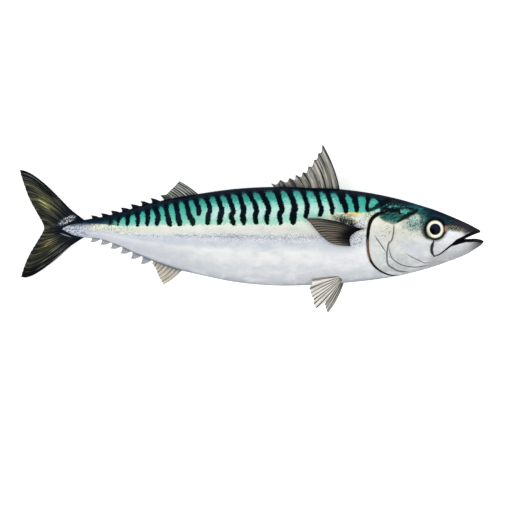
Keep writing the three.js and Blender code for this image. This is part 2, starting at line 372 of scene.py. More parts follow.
def add_piece(name, mesh):
    """A new object of the scene with this mesh, all its faces smooth."""
    piece = bpy.data.objects.new(name, mesh)
    bpy.context.scene.collection.objects.link(piece)
    mesh.shade_smooth()
    return piece


def prism(name, outline, low, high):
    """A straight-sided solid with this outline, between two heights."""
    shape = bmesh.new()
    lower = [shape.verts.new((x * MM, y * MM, low * MM)) for x, y in outline]
    upper = [shape.verts.new((x * MM, y * MM, high * MM)) for x, y in outline]
    shape.faces.new(lower[::-1])
    shape.faces.new(upper)
    for i in range(len(outline)):
        j = (i + 1) % len(outline)
        shape.faces.new((lower[i], lower[j], upper[j], upper[i]))
    bmesh.ops.recalc_face_normals(shape, faces=shape.faces)
    mesh = bpy.data.meshes.new(name)
    shape.to_mesh(mesh)
    shape.free()
    return add_piece(name, mesh)


def cut(piece, tool):
    """Cuts a closed tool out of a piece, and takes the tool away."""
    step = piece.modifiers.new("cut", "BOOLEAN")
    step.operation = "DIFFERENCE"
    step.solver = "MANIFOLD"
    step.object = tool
    bpy.context.view_layer.update()
    done = bpy.data.meshes.new_from_object(piece.evaluated_get(bpy.context.evaluated_depsgraph_get()))
    piece.modifiers.clear()
    piece.data = done
    bpy.data.objects.remove(tool)


body = add_piece("mackerel_body", flesh_mesh())

gape = np.vstack([UPPER_LIP, [(168.5, 1.5), (172.0, 1.5), (172.0, -9.8)], LOWER_LIP[::-1][:-1]])
FISH_TOP = 42.0
cut(body, prism("gape", gape, 0.0, FISH_TOP))

LIP_THICK = 1.5
HOLLOW_RISE = 3.1  # half the hollow's height at the back of the mouth


def mouth_hollow():
    """The hollow between the jaws, which leaves their rims about as thick as real lips."""
    low, high = np.array((139.0, -15.0)), np.array((163.6, -6.0))
    shape = bmesh.new()
    bmesh.ops.create_uvsphere(shape, u_segments=40, v_segments=24, radius=1.0)
    for v in shape.verts:
        share = (v.co.x + 1.0) / 2.0
        x, y = low + (high - low) * share
        line = float(np.interp(x, MOUTH_LINE[:, 0], MOUTH_LINE[:, 1]))
        room = max(float(flank_at(x, line)) - LIP_THICK, 0.3)
        rise = HOLLOW_RISE * min(1.0, 3.0 * (1.0 - share) + 0.25)
        v.co = Vector((x, line + v.co.y * rise, float(middle_at(x)) + v.co.z * room)) * MM
    mesh = bpy.data.meshes.new("mouth_hollow")
    shape.to_mesh(mesh)
    shape.free()
    return add_piece("mouth_hollow", mesh)


cut(body, mouth_hollow())


# ---- Skin ---------------------------------------------------------------------------------
# A thin wet skin over the whole body. The back is blue-black with dark bars over turquoise,
# and the flanks and belly are silver-white, with small scales that show only as a sheen.

# The dark cap of the back ends at this height.
CAP_EDGE = [
    (-141.0, 1.4), (-125.0, 1.9), (-116.0, 2.2), (-108.0, 3.1), (-102.0, 4.4), (-97.0, 6.6), (-91.0, 8.5),
    (-79.0, 11.9), (-66.0, 15.5), (-52.0, 18.7), (-37.0, 21.0), (-22.0, 23.3), (-6.0, 25.1), (12.0, 26.4),
    (31.0, 26.7), (50.0, 25.9), (68.0, 24.0), (88.0, 21.2), (110.0, 17.4),
]

# Bars from the tail to the head: points down the middle of each one, and widths at its two ends.
BARS = [
    ([(-102.0, 5.8), (-102.0, 2.0)], 2.2, 1.2),
    ([(-95.8, 7.4), (-96.5, 2.4)], 2.4, 2.0),
    ([(-89.2, 9.0), (-89.6, 2.4)], 3.0, 2.9),
    ([(-82.6, 11.2), (-82.0, 7.0), (-82.3, 2.2)], 3.2, 2.9),
    ([(-75.3, 13.9), (-74.9, 8.1), (-75.5, 2.2)], 3.4, 3.2),
    ([(-69.6, 15.0), (-67.4, 8.4), (-68.2, 4.5), (-68.5, 2.4)], 3.5, 3.4),
    ([(-61.9, 16.6), (-61.3, 11.7), (-60.0, 6.2), (-58.9, 2.2)], 3.1, 3.8),
    ([(-54.9, 18.0), (-53.6, 11.7), (-52.9, 7.3), (-51.8, 2.6)], 3.2, 4.2),
    ([(-47.6, 19.0), (-45.9, 13.0), (-45.1, 8.9), (-42.8, 4.8), (-42.3, 2.8)], 3.3, 4.2),
    ([(-40.6, 20.2), (-38.3, 13.9), (-38.3, 9.6)], 3.3, 3.6),
    ([(-32.5, 21.0), (-30.4, 14.8), (-30.2, 12.5), (-31.0, 9.8), (-31.7, 6.5), (-31.8, 3.3)], 3.4, 3.5),
    ([(-25.0, 22.6), (-22.8, 16.4), (-21.7, 12.0), (-22.8, 8.4), (-23.3, 3.6)], 3.5, 4.2),
    ([(-17.4, 23.2), (-15.1, 17.5), (-13.6, 13.1), (-13.9, 10.7), (-15.0, 8.1), (-12.9, 2.6)], 3.5, 3.6),
    ([(-9.3, 24.2), (-7.1, 17.5), (-5.8, 13.1), (-6.6, 9.5), (-6.4, 7.1), (-5.8, 3.6)], 3.5, 4.2),
    ([(-1.8, 25.2), (0.9, 19.2), (3.0, 14.2), (3.3, 10.9), (2.2, 8.1), (3.1, 3.7)], 3.5, 3.7),
    (
        [(6.4, 26.2), (8.9, 21.4), (10.9, 17.5), (12.0, 13.1), (10.9, 9.8), (10.5, 7.1), (10.9, 3.8)],
        4.2, 3.6,
    ),
    ([(17.9, 25.9), (19.7, 20.3), (21.2, 15.0), (21.5, 12.5), (19.8, 9.2), (20.6, 3.6)], 4.2, 3.6),
    ([(26.6, 25.9), (29.2, 20.3), (30.7, 15.3), (30.1, 11.4), (29.5, 7.0), (29.4, 3.9)], 4.0, 5.0),
    ([(36.6, 26.2), (38.2, 20.9), (39.8, 16.4), (39.6, 13.1), (38.6, 7.9)], 3.6, 3.6),
    ([(46.0, 26.0), (47.5, 21.4), (49.4, 15.2), (49.7, 11.4), (48.2, 8.9)], 3.5, 3.3),
    ([(54.3, 25.4), (55.8, 20.0), (57.6, 15.3), (57.5, 10.8)], 3.6, 3.5),
    ([(64.0, 24.8), (64.9, 20.0), (66.7, 16.4), (67.5, 11.5)], 5.6, 3.9),
    ([(73.0, 23.6), (74.2, 19.5), (75.1, 15.0), (75.2, 11.5)], 5.0, 3.2),
    ([(83.4, 21.6), (83.0, 17.7), (82.6, 14.4), (82.7, 12.2)], 3.0, 2.8),
]
OVER_THE_BACK = 9.0  # how far the bars go on into the cap
CAP_BLEND = 3.4  # how far the cap's edge hangs down beside each bar

# The dark crown of the head: nape, gill cover's top, round the eye and out to the snout.
CROWN_FOOT = [
    (91.4, 8.6), (92.0, 7.2), (93.5, 5.8), (97.0, 3.9), (101.4, 2.6), (104.0, 3.1), (106.6, 4.8),
    (109.4, 6.2), (112.2, 7.4), (115.0, 8.7), (117.6, 9.4), (119.6, 8.4), (121.0, 5.4), (121.9, 2.0),
    (123.0, -2.2), (125.6, -5.6), (130.0, -8.7), (134.8, -8.2), (138.0, -4.6), (140.6, -2.2),
    (144.0, -1.7), (149.1, -2.4), (152.6, -4.0), (154.2, -6.6),
]
CROWN = curve_through([(76.0, 36.0), (83.0, 24.0), (88.6, 20.6), (91.2, 17.6), (91.6, 13.0)] + CROWN_FOOT + [
    (158.0, -6.6), (164.0, -4.0), (169.0, 2.0), (160.0, 12.0), (130.0, 30.0),
])

# Marks on the head: points down each mark's middle, and its half width at start, middle and end.
BLACK_MARKS = [
    ([(83.4, 12.6), (87.6, 14.2), (90.8, 16.2), (94.0, 18.0), (98.0, 19.6)], (1.3, 1.8, 2.2)),
    ([(90.6, 20.6), (92.6, 18.8)], (1.0, 1.3, 1.0)),
    (
        [(92.0, 9.6), (93.4, 12.6), (97.0, 13.3), (101.0, 12.5), (105.2, 12.6), (106.6, 11.2)],
        (0.7, 1.6, 1.4),
    ),
    ([(104.6, 4.4), (108.2, 6.6), (112.0, 8.8), (116.0, 10.8), (118.6, 12.6)], (0.8, 2.1, 1.2)),
    ([(109.0, 14.2), (113.0, 14.0), (118.0, 12.8)], (0.4, 0.9, 0.4)),
]
BRIGHT_MARKS = [
    ([(85.4, 15.6), (86.6, 17.2), (88.6, 18.6)], (1.4, 1.8, 1.0)),
    ([(108.2, 11.3), (110.2, 11.8), (111.9, 12.2)], (1.0, 1.7, 1.1)),
    ([(98.6, 15.3), (100.2, 15.0)], (0.4, 0.7, 0.5)),
    ([(103.2, 15.5), (103.6, 15.4)], (0.4, 0.5, 0.4)),
    ([(105.7, 15.2), (106.0, 15.1)], (0.35, 0.4, 0.35)),
    ([(113.6, 8.0), (115.4, 8.4)], (0.4, 0.6, 0.4)),
]
PALE_MARKS = [
    ([(88.6, 11.2), (90.0, 12.0), (91.2, 12.8)], (0.8, 1.2, 0.7)),
    ([(85.6, 11.4), (86.4, 11.2)], (0.4, 0.5, 0.4)),
    ([(107.0, 13.0), (106.9, 12.0), (107.6, 11.0)], (0.2, 0.25, 0.2)),
]


def marks_distance(marks, x, y):
    """Distance from the edge of the nearest mark, less than 0 inside it."""
    nearest = np.full(np.shape(x), 30.0)
    close = (x > 76.0) & (x < 130.0) & (y > -2.0)
    px, py = x[close], y[close]
    found = nearest[close]
    for points, widths in marks:
        path = curve_through(points)
        away, _, along = nearest_on(path, px, py)
        length = length_of(path)
        found = np.minimum(found, away - np.interp(along, (0.0, 0.5 * length, length), widths))
    nearest[close] = found
    return nearest


def bars_distance(x, y):
    """Distance from the edge of the nearest bar, less than 0 inside it."""
    nearest = np.full(np.shape(x), 50.0)
    close = (y > -2.0) & (x > -112.0) & (x < 104.0)
    px, py = x[close], y[close]
    found = nearest[close]
    for points, top, foot in BARS:
        (ax, ay), (bx, by) = points[:2]
        reach = OVER_THE_BACK / math.hypot(ax - bx, ay - by)
        extended = [(ax + (ax - bx) * reach, ay + (ay - by) * reach)] + points
        path = curve_through(extended, 4)
        away, _, along = nearest_on(path, px, py)
        length = length_of(path)
        half = 0.5 * np.interp(along, (OVER_THE_BACK, length - 1.5, length), (top, foot, foot * 0.75))
        found = np.minimum(found, away - half)
    nearest[close] = found
    return nearest


def joined(one, other, blend):
    """The smaller of two distances, rounded where they meet."""
    h = np.clip(0.5 + 0.5 * (other - one) / blend, 0.0, 1.0)
    return other + (one - other) * h - blend * h * (1.0 - h)


def seams_distance(x, y):
    """Distance from the nearest seam of the head over that seam's half width: 1 at its edge."""
    nearest = np.full(np.shape(x), 20.0)
    for path, half, _ in SEAMS:
        away, _, along = nearest_on(path, x, y)
        length = length_of(path)
        taper = 0.35 + 0.65 * eased(0.0, 4.0, np.minimum(along, length - along))
        nearest = np.minimum(nearest, away / (half * taper))
    return nearest


def gill_distance(x, y):
    """Distance from the gill slot's dark line over the line's half width: 1 at its edge."""
    away, side, along = nearest_on(GILL_EDGE, x, y)
    half = np.interp(along, (0.0, 8.0, 16.0, 30.0, 46.0, 58.0, 68.0), (0.5, 1.4, 1.4, 1.05, 0.8, 0.6, 0.4))
    return np.abs(away * side + 0.35) / half


def level_at(x, y):
    """0 at the belly's edge, 0.5 along the middle of the flank, and 1 at the back's edge."""
    middle = -7.5 * eased(100.0, 162.0, x)
    back, belly = back_at(x), belly_at(x)
    up = (y - middle) / np.maximum(back - middle, 0.5)
    down = (y - middle) / np.maximum(middle - belly, 0.5)
    return np.clip(0.5 + 0.5 * np.where(y > middle, up, down), 0.0, 1.0)


def lips_edge(x, y):
    """Distance from the lips' rims less their width, which is widest at the front of the jaws."""
    width = np.interp(x, (130.0, 138.0, 143.5, 147.0, 154.0, 164.0), (0.35, 0.5, 0.75, 1.8, 2.5, 2.5))
    return np.where(x > 128.0, lips_distance(x, y) - width, 30.0)


def points_of(mesh):
    """x, y and z of a mesh's points, in millimetres."""
    co = np.empty(len(mesh.vertices) * 3)
    mesh.vertices.foreach_get("co", co)
    return co[0::3] / MM, co[1::3] / MM, co[2::3] / MM


def lay_fields(mesh, fields):
    """Stores one value for each of a mesh's points, under each name."""
    for name, values in fields.items():
        layer = mesh.attributes.new(name, "FLOAT", "POINT")
        layer.data.foreach_set("value", np.asarray(values, np.float32))


x, y, z = points_of(body.data)
under_cap = smooth_line(CAP_EDGE, 1, x) - y
under_skin = flank_at(x, y) - np.abs(z - middle_at(x))
foot_depth = nearest_on(curve_through(CROWN_FOOT), x, y)[0]
head = np.vstack([GILL_EDGE, [(175.0, -45.0), (175.0, 30.0), (103.0, 30.0)]])
lay_fields(body.data, {
    "level": level_at(x, y),
    "bars": bars_distance(x, y),
    "dark": joined(bars_distance(x, y), under_cap, CAP_BLEND),
    "cap": -under_cap,
    "crown": inside_by(CROWN, x, y),
    "depth": foot_depth,
    "cover": inside_by(head, x, y),
    "black_marks": marks_distance(BLACK_MARKS, x, y),
    "bright_marks": marks_distance(BRIGHT_MARKS, x, y),
    "pale_marks": marks_distance(PALE_MARKS, x, y),
    "gill": gill_distance(x, y),
    "seams": seams_distance(x, y),
    "lips": lips_edge(x, y),
    "eye": eye_distance(x, y),
    "lining": np.where((x > 138.0) & (eye_distance(x, y) > 9.0), under_skin, 0.0),
})


def paint(code):
    """A colour from its sRGB hex code, as the linear colour that shaders use."""
    parts = [int(code[i : i + 2], 16) / 255 for i in (0, 2, 4)]
    return tuple(c / 12.92 if c <= 0.04045 else ((c + 0.055) / 1.055) ** 2.4 for c in parts) + (1.0,)


def fill(node, inputs):
    """Sets a node's inputs to numbers and colour codes, or links them to what other nodes give."""
    for key, value in dict(inputs).items():
        if isinstance(value, Spread):
            node.id_data.links.new(value.socket, node.inputs[key])
        else:
            node.inputs[key].default_value = paint(value) if isinstance(value, str) else value


def shader(tree, kind, inputs=(), out=0, **settings):
    """What a new shader node gives. settings are the node's own choices."""
    made = tree.nodes.new(kind)
    for name, value in settings.items():
        setattr(made, name, value)
    fill(made, inputs)
    return Spread(made.outputs[out])


class Spread:
    """A value that varies over a surface, which can be added, multiplied and stepped like a number."""

    def __init__(self, socket):
        self.socket = socket
        self.tree = socket.id_data

    def calc(self, operation, *values):
        return shader(self.tree, "ShaderNodeMath", enumerate(values), operation=operation)

    def __add__(self, other):
        return self.calc("ADD", self, other)

    def __sub__(self, other):
        return self.calc("SUBTRACT", self, other)

    def __rsub__(self, other):
        return self.calc("SUBTRACT", other, self)

    def __mul__(self, other):
        return self.calc("MULTIPLY", self, other)

    def __truediv__(self, other):
        return self.calc("DIVIDE", self, other)

    def __rtruediv__(self, other):
        return self.calc("DIVIDE", other, self)

    def __abs__(self):
        return self.calc("ABSOLUTE", self)

    def step(self, low, high, to_low=0.0, to_high=1.0, way="SMOOTHSTEP"):
        """Turns low to high into to_low to to_high, smoothly unless way is LINEAR."""
        inputs = {0: self, 1: low, 2: high, 3: to_low, 4: to_high}
        return shader(self.tree, "ShaderNodeMapRange", inputs, interpolation_type=way)

    def beside(self, name):
        """Another output of the node that gives this value."""
        return Spread(self.socket.node.outputs[name])


def highest(first, *others):
    for other in others:
        first = first.calc("MAXIMUM", first, other)
    return first


def layered(mask, under, over, blend="MIX"):
    """The colour under, with the colour over laid on it where the mask is 1."""
    inputs = {0: mask, 6: under, 7: over}
    return shader(mask.tree, "ShaderNodeMix", inputs, out=2, data_type="RGBA", blend_type=blend)


def ramp(value, stops):
    """A colour ramp with stops of place and colour code."""
    made = shader(value.tree, "ShaderNodeValToRGB", {0: value})
    elements = made.socket.node.color_ramp.elements
    while len(elements) < len(stops):
        elements.new(0.5)
    for element, (place, code) in zip(elements, stops):
        element.position = place
        element.color = paint(code)
    return made


def noise(where, scale, detail=3.0, rough=0.55):
    inputs = {"Vector": where, "Scale": scale, "Detail": detail, "Roughness": rough}
    return shader(where.tree, "ShaderNodeTexNoise", inputs, out="Fac")


def stretched(where, factors):
    """Coordinates multiplied along each axis."""
    return shader(where.tree, "ShaderNodeVectorMath", {0: where, 1: factors}, operation="MULTIPLY")


def millimetres(tree):
    """Coordinates in the frame, in millimetres."""
    return stretched(shader(tree, "ShaderNodeTexCoord", out="Object"), (1 / MM, 1 / MM, 1 / MM))


def effect(name, sockets_in, sockets_out):
    """An empty node group with named sockets, what it is given, and the node that takes its results."""
    tree = bpy.data.node_groups.new(name, "ShaderNodeTree")
    kinds = {"value": "NodeSocketFloat", "colour": "NodeSocketColor", "vector": "NodeSocketVector"}
    for way, sockets in (("INPUT", sockets_in), ("OUTPUT", sockets_out)):
        for label, kind in sockets.items():
            tree.interface.new_socket(label, in_out=way, socket_type=kinds[kind])
    start = tree.nodes.new("NodeGroupInput").outputs
    return tree, {label: Spread(start[label]) for label in sockets_in}, tree.nodes.new("NodeGroupOutput")


# A painted edge: 1 where Distance is under 0, with a border that wanders and a grain.
inputs = {"Distance": "value", "Wander": "value", "Grain": "value", "Soft": "value"}
ragged_edge, given, result = effect("ragged_edge", inputs, {"Mask": "value"})
spot = millimetres(ragged_edge)
wander = noise(spot, 0.45, 2.0) - 0.5
grain = noise(spot, 1.5, 3.0, 0.65) - 0.5
moved = grain * given["Grain"] + (wander * given["Wander"] + given["Distance"])
fill(result, {"Mask": moved.step(given["Soft"] * -1.0, given["Soft"], 1.0, 0.0)})

# An oval spot on both flanks: 1 in its middle, fading out at its Reach along and across its Turn.
inputs = {"Centre": "vector", "Reach": "vector", "Turn": "value", "Grain": "value", "Soft": "value"}
oval_spot, given, result = effect("oval_spot", inputs, {"Mask": "value"})
spot = millimetres(oval_spot)
kind = "ShaderNodeVectorMath"
off = shader(oval_spot, kind, {0: spot, 1: given["Centre"]}, operation="SUBTRACT")
turn = {"Vector": off, "Angle": given["Turn"]}
off = shader(oval_spot, "ShaderNodeVectorRotate", turn, rotation_type="Z_AXIS", invert=True)
off = shader(oval_spot, kind, {0: off, 1: given["Reach"]}, operation="DIVIDE")
away = shader(oval_spot, kind, {0: stretched(off, (1, 1, 0))}, out="Value", operation="LENGTH")
away = (noise(spot, 0.8, 4.0, 0.7) - 0.5) * given["Grain"] + away
fill(result, {"Mask": away.step(1.0 - given["Soft"], given["Soft"] + 1.0, 1.0, 0.0)})

# Fine specks scattered over the skin, more of them where Amount is higher.
speckled, given, result = effect("specks", {"Amount": "value", "Size": "value"}, {"Mask": "value"})
fine = noise(millimetres(speckled), 1.0 / given["Size"], 2.0, 0.65)
limit = given["Amount"] * -0.32 + 0.78
fill(result, {"Mask": fine.step(limit, limit + 0.06)})


def ragged(distance, wander, grain, soft):
    inputs = {"Distance": distance, "Wander": wander, "Grain": grain, "Soft": soft}
    return shader(distance.tree, "ShaderNodeGroup", inputs, node_tree=ragged_edge)


class Coat:
    """A material as it is painted: its colour so far, with what is laid on it, and its finish."""

    def __init__(self, name):
        self.material = bpy.data.materials.new(name)
        self.material.use_nodes = True
        self.tree = self.material.node_tree
        self.colour = None

    def field(self, name):
        """A value laid on the mesh's points."""
        return shader(self.tree, "ShaderNodeAttribute", out="Fac", attribute_name=name)

    def oval(self, centre, reach, turn=0.0, grain=0.6, soft=0.5):
        """The mask of an oval spot. turn is its long side's slope, in degrees."""
        inputs = {"Centre": (*centre, 0), "Reach": (*reach, 1), "Turn": math.radians(turn)}
        inputs |= {"Grain": grain, "Soft": soft}
        return shader(self.tree, "ShaderNodeGroup", inputs, node_tree=oval_spot)

    def specks(self, amount, size):
        return shader(self.tree, "ShaderNodeGroup", {"Amount": amount, "Size": size}, node_tree=speckled)

    def lay(self, mask, over, blend="MIX"):
        """Lays a colour on the coat where the mask is 1."""
        self.colour = layered(mask, self.colour, over, blend)

    def finish(self, inputs):
        """Sets the inputs of the surface shader, and gives the finished material."""
        fill(self.tree.nodes["Principled BSDF"], inputs)
        return self.material


def plain_skin():
    """The skin's coat, with the places and the grains that its layers go by."""
    coat = Coat("wet_barred_skin")
    coat.here = millimetres(coat.tree)
    coat.x = shader(coat.tree, "ShaderNodeSeparateXYZ", {0: coat.here}, out="X")
    coat.y = coat.x.beside("Y")
    coat.cloud = noise(coat.here, 0.06, 3.0) - 0.5
    coat.mottle = noise(coat.here, 0.5, 4.0, 0.65) - 0.5
    coat.fine = noise(coat.here, 1.5, 3.0, 0.75)
    coat.patchy = noise(stretched(coat.here, (0.5, 0.9, 0.5)), 0.22, 4.0, 0.6)
    coat.off_head = coat.field("cover").step(-0.5, 0.5, 1.0, 0.0)
    coat.level = coat.mottle * 0.035 + (coat.cloud * 0.05 + coat.field("level"))
    lift = coat.x.step(-104.0, -30.0, 0.065, 0.012)
    coat.low_level = coat.level + lift * coat.level.step(0.2, 0.34)
    return coat


def lay_silver(coat):
    """The silver belly, the lavender band and the cream line, from the belly's edge upward."""
    # the darker greys at the lowest levels are painted shade where the belly turns away
    silver = [
        (0.000, "878c93"), (0.018, "a3a7ae"), (0.05, "bcc0c5"), (0.10, "cccfd1"), (0.16, "d5d7d9"),
        (0.23, "e5e5e6"), (0.29, "edeeed"), (0.335, "dce1e7"), (0.36, "d6dce3"), (0.41, "cdd3db"),
        (0.432, "c9ced6"), (0.45, "d9ddda"), (0.48, "e4e7de"), (0.53, "e8eadf"),
    ]
    coat.colour = ramp(coat.low_level, silver)


def lay_turquoise(coat):
    """Turquoise between the bars, paler low down in the middle of the fish. Gives where it begins."""
    x, y, level, mottle, fine = coat.x, coat.y, coat.level, coat.mottle, coat.fine
    mint = [
        (0.53, "dfe8dc"), (0.555, "addbc9"), (0.60, "98d3c2"), (0.665, "bde2d8"), (0.72, "b9e1d6"),
        (0.755, "a0d7c9"), (0.80, "6fc5b5"), (0.835, "3fa294"), (0.87, "248a7f"), (0.91, "167a72"),
        (0.96, "0e464a"),
    ]
    turquoise = [
        (0.53, "dbe7da"), (0.56, "9fd4c3"), (0.61, "78c8b3"), (0.68, "57b8a5"), (0.76, "3eaa98"),
        (0.84, "299c8b"), (0.90, "1b8d7f"), (0.96, "0e5f5a"),
    ]
    blotted = mottle * 0.14 + level
    blotted = blotted + x.step(12.0, 34.0, 0.0, -0.045)
    ends = highest(x.step(-46.0, -24.0, 1.0, 0.0), x.step(55.0, 68.0))
    upper = layered(ends, ramp(blotted, mint), ramp(blotted, turquoise))
    freckle = fine.step(0.5, 0.66) * 0.3
    upper = layered(freckle, upper, "1a8a7c")
    glint = fine.step(0.34, 0.45, 1.0, 0.0) * 0.14
    upper = layered(glint, upper, "c9f0e4")
    dull = x.step(-101.0, -95.0, 0.85, 0.0)
    upper = layered(dull, upper, "2b4f4a")
    lower = level - x.step(-120.0, -88.0, 0.19, 0.0)
    above = lower.step(0.525, 0.54)
    tail_end = x.step(-122.0, -112.0)
    coat.lay(above * tail_end, upper)
    behind_gill = x.step(46.0, 60.0)
    low_back = (mottle * 7.0 + y).step(9.6, 11.6, 1.0, 0.0)
    pale = behind_gill * low_back * y.step(0.0, 3.0)
    coat.lay(pale, "dbe3c8")
    return above


def lay_clouds(coat):
    """Cloudy dimness and brushed lights on the silver, and a flecked grey line under the cream."""
    x, level, low_level, patchy = coat.x, coat.level, coat.low_level, coat.patchy
    brush = noise(stretched(coat.here, (0.25, 1.3, 0.6)), 0.6, 4.0, 0.65)
    on_silver = level.step(0.5, 0.54, 1.0, 0.0)
    light = patchy.step(0.46, 0.68)
    coat.lay(light * on_silver * 0.22, "ffffff")
    dim = patchy.step(0.5, 0.3)
    coat.lay(dim * on_silver * 0.22, "a9b1bd")
    off_line = abs(low_level - 0.434)
    line = off_line.step(0.006, 0.026, 1.0, 0.0) * brush.step(0.42, 0.6)
    line = line * x.step(-30.0, 20.0, 0.75, 0.45)
    coat.lay(line, "8791a6")
    flecks = coat.specks(0.8, 1.2)
    border = low_level.step(0.39, 0.42) * low_level.step(0.45, 0.48, 1.0, 0.0)
    coat.lay(flecks * border * 0.45, "868f9c")
    white_flecks = coat.specks(0.8, 0.9)
    band = low_level.step(0.36, 0.4) * low_level.step(0.45, 0.49, 1.0, 0.15) * on_silver
    coat.lay(white_flecks * band * 0.65, "ffffff")
    to_tail = x.step(-70.0, -20.0, 1.0, 0.0) * low_level.step(0.4, 0.45, 1.0, 0.0)
    coat.lay(to_tail * 0.38, "abb1bf")
    to_tail = x.step(-75.0, -30.0, 0.4, 0.0) * low_level.step(0.44, 0.47) * on_silver
    coat.lay(to_tail, "c3ccbc")
    return light, dim


def lay_stalk(coat, above):
    """The tail's stalk: cream and grey specks, then lavender scales to the tip."""
    x, low_level, mottle = coat.x, coat.low_level, coat.mottle
    cream_end = x.step(-98.0, -70.0, 1.0, 0.0) * low_level.step(0.43, 0.47)
    cream_end = cream_end * (1.0 - above)
    yellow = coat.specks(0.9, 1.2)
    coat.lay(cream_end * yellow * 0.55, "e6e3c2")
    greyish = coat.specks(0.85, 0.95)
    coat.lay(cream_end * greyish * 0.65, "8a948c")
    on_stalk = (mottle * 8.0 + x).step(-124.0, -114.0, 1.0, 0.0)
    coat.lay(on_stalk * 0.85, "76829a")
    stalk_dim = x.step(-134.0, -123.0, 1.0, 0.0) * 0.6
    coat.lay(stalk_dim, "6d7789")
    scaly = coat.specks(0.92, 1.3)
    coat.lay(on_stalk * scaly * 0.75, "dde4ee")
    # painted shade: a dark grey line along the belly's edge, heavier toward the tail
    edge_shade_share = coat.field("level") / x.step(-70.0, -30.0, 0.04, 0.016)
    painted_edge_shade = edge_shade_share.step(0.3, 1.0, 1.0, 0.0) * x.step(-66.0, -20.0, 0.7, 0.4)
    coat.lay(painted_edge_shade, "50525a")


def lay_head(coat, light, dim):
    """The silver-grey gill cover and cheek, with the same clouds as the flank."""
    x, level = coat.x, coat.level
    on_head = coat.field("cover").step(-0.2, 0.4)
    # the darkest greys at the lowest levels of both ramps are painted shade toward the head's lower edge
    cheek = [
        (0.00, "858a8c"), (0.03, "a0a4a6"), (0.08, "b4b8b8"), (0.16, "c3c7c6"), (0.28, "cdd1cf"),
        (0.40, "d8dbd7"), (0.50, "e2e2d8"), (0.58, "e2dfcc"), (0.70, "d5d6be"),
    ]
    plate = [
        (0.00, "83868a"), (0.05, "9c9fa2"), (0.14, "b4b7b8"), (0.30, "c7cacb"), (0.42, "e2e5e9"),
        (0.60, "e6e9f0"),
    ]
    to_jaws = x.step(122.0, 130.0)
    head = layered(to_jaws, ramp(level, cheek), ramp(level, plate))
    head = layered(light * 0.28, head, "ffffff")
    head = layered(dim * 0.3, head, "a4a9ae")
    coat.lay(on_head, head)


def lay_bars(coat):
    """The dark cap of the back and the bars that hang from it. Gives where they are."""
    x, y = coat.x, coat.y
    cap = coat.field("cap")
    dark = ramp(cap.step(-1.0, 4.0), [(0.0, "0b2c33"), (0.35, "09212c"), (1.0, "071623")])
    cloudy = noise(coat.here, 0.3, 3.0)
    teal_glow = cloudy.step(0.5, 0.7) * x.step(-20.0, 60.0, 0.1, 0.28)
    dark = layered(teal_glow, dark, "144650")
    bars = coat.field("bars")
    in_bar = bars.step(-0.2, 0.6, 1.0, 0.0)
    green_foot = y.step(4.0, 9.0, 1.0, 0.0) * x.step(-60.0, -40.0)
    ink = layered(green_foot, "020a14", "031c0f")
    in_bar = in_bar * cap.step(-0.5, 2.5, 1.0, 0.35)
    dark = layered(in_bar, dark, ink)
    softness = x.step(-108.0, -98.0, 1.4, 0.2)
    near_cap = cap.step(-2.0, 0.5, 0.0, 0.35)
    softness = softness + near_cap * bars.step(0.3, 1.5)
    wider = coat.field("dark") - y.step(14.0, 22.0, 0.18, 0.0)
    barred = ragged(wider, 1.7, 3.2, softness) * coat.off_head
    coat.lay(barred, dark)
    return barred


def lay_crown(coat):
    """The crown, from teal above the gill cover to blue-black on the snout. Gives where it is."""
    x, level, mottle, fine = coat.x, coat.level, coat.mottle, coat.fine
    crown = coat.field("crown")
    depth = coat.cloud * 4.0 + coat.field("depth")
    depth = mottle * 5.0 + depth
    tones = [
        (0.00, "6f9884"), (0.08, "3c7265"), (0.20, "27605a"), (0.34, "1a5052"), (0.50, "103840"),
        (0.66, "09212b"), (0.85, "050f18"), (1.0, "040b14"),
    ]
    crown_colour = ramp(depth / 15.0, tones)
    sparkle = fine.step(0.36, 0.46, 1.0, 0.0) * depth.step(3.0, 9.0, 0.45, 0.06)
    crown_colour = layered(sparkle, crown_colour, "6fb3a0")
    black_grain = fine.step(0.52, 0.66) * 0.55
    crown_colour = layered(black_grain, crown_colour, "08222a")
    slant = {"Vector": coat.here, "Angle": math.radians(-20)}
    slanted = shader(coat.tree, "ShaderNodeVectorRotate", slant, rotation_type="Z_AXIS")
    crown_blots = noise(stretched(slanted, (0.5, 1.3, 0.5)), 0.5, 4.0, 0.7)
    crown_colour = layered(crown_blots.step(0.5, 0.57) * 0.75, crown_colour, "07202a")
    bright_blots = crown_blots.step(0.44, 0.36) * depth.step(4.0, 11.0, 0.6, 0.0)
    crown_colour = layered(bright_blots, crown_colour, "3f8f80")
    sheen = level.step(0.86, 0.93) * level.step(0.94, 0.985, 1.0, 0.0)
    sheen = sheen * x.step(112.0, 126.0, 0.12, 0.05)
    crown_colour = layered(sheen, crown_colour, "2a5560")
    on_snout = x.step(137.0, 148.0)
    snout_tones = [(0.0, "6a6a64"), (0.2, "525052"), (0.45, "35323a"), (1.0, "131218")]
    snout = ramp(depth / 9.0, snout_tones)
    crown_colour = layered(on_snout, crown_colour, snout)
    crown_edge = x.step(106.0, 112.0, 0.5, 1.3)
    crowned = ragged(crown * -1.0, 2.2, 3.0, crown_edge)
    coat.lay(crowned, crown_colour)
    return crowned


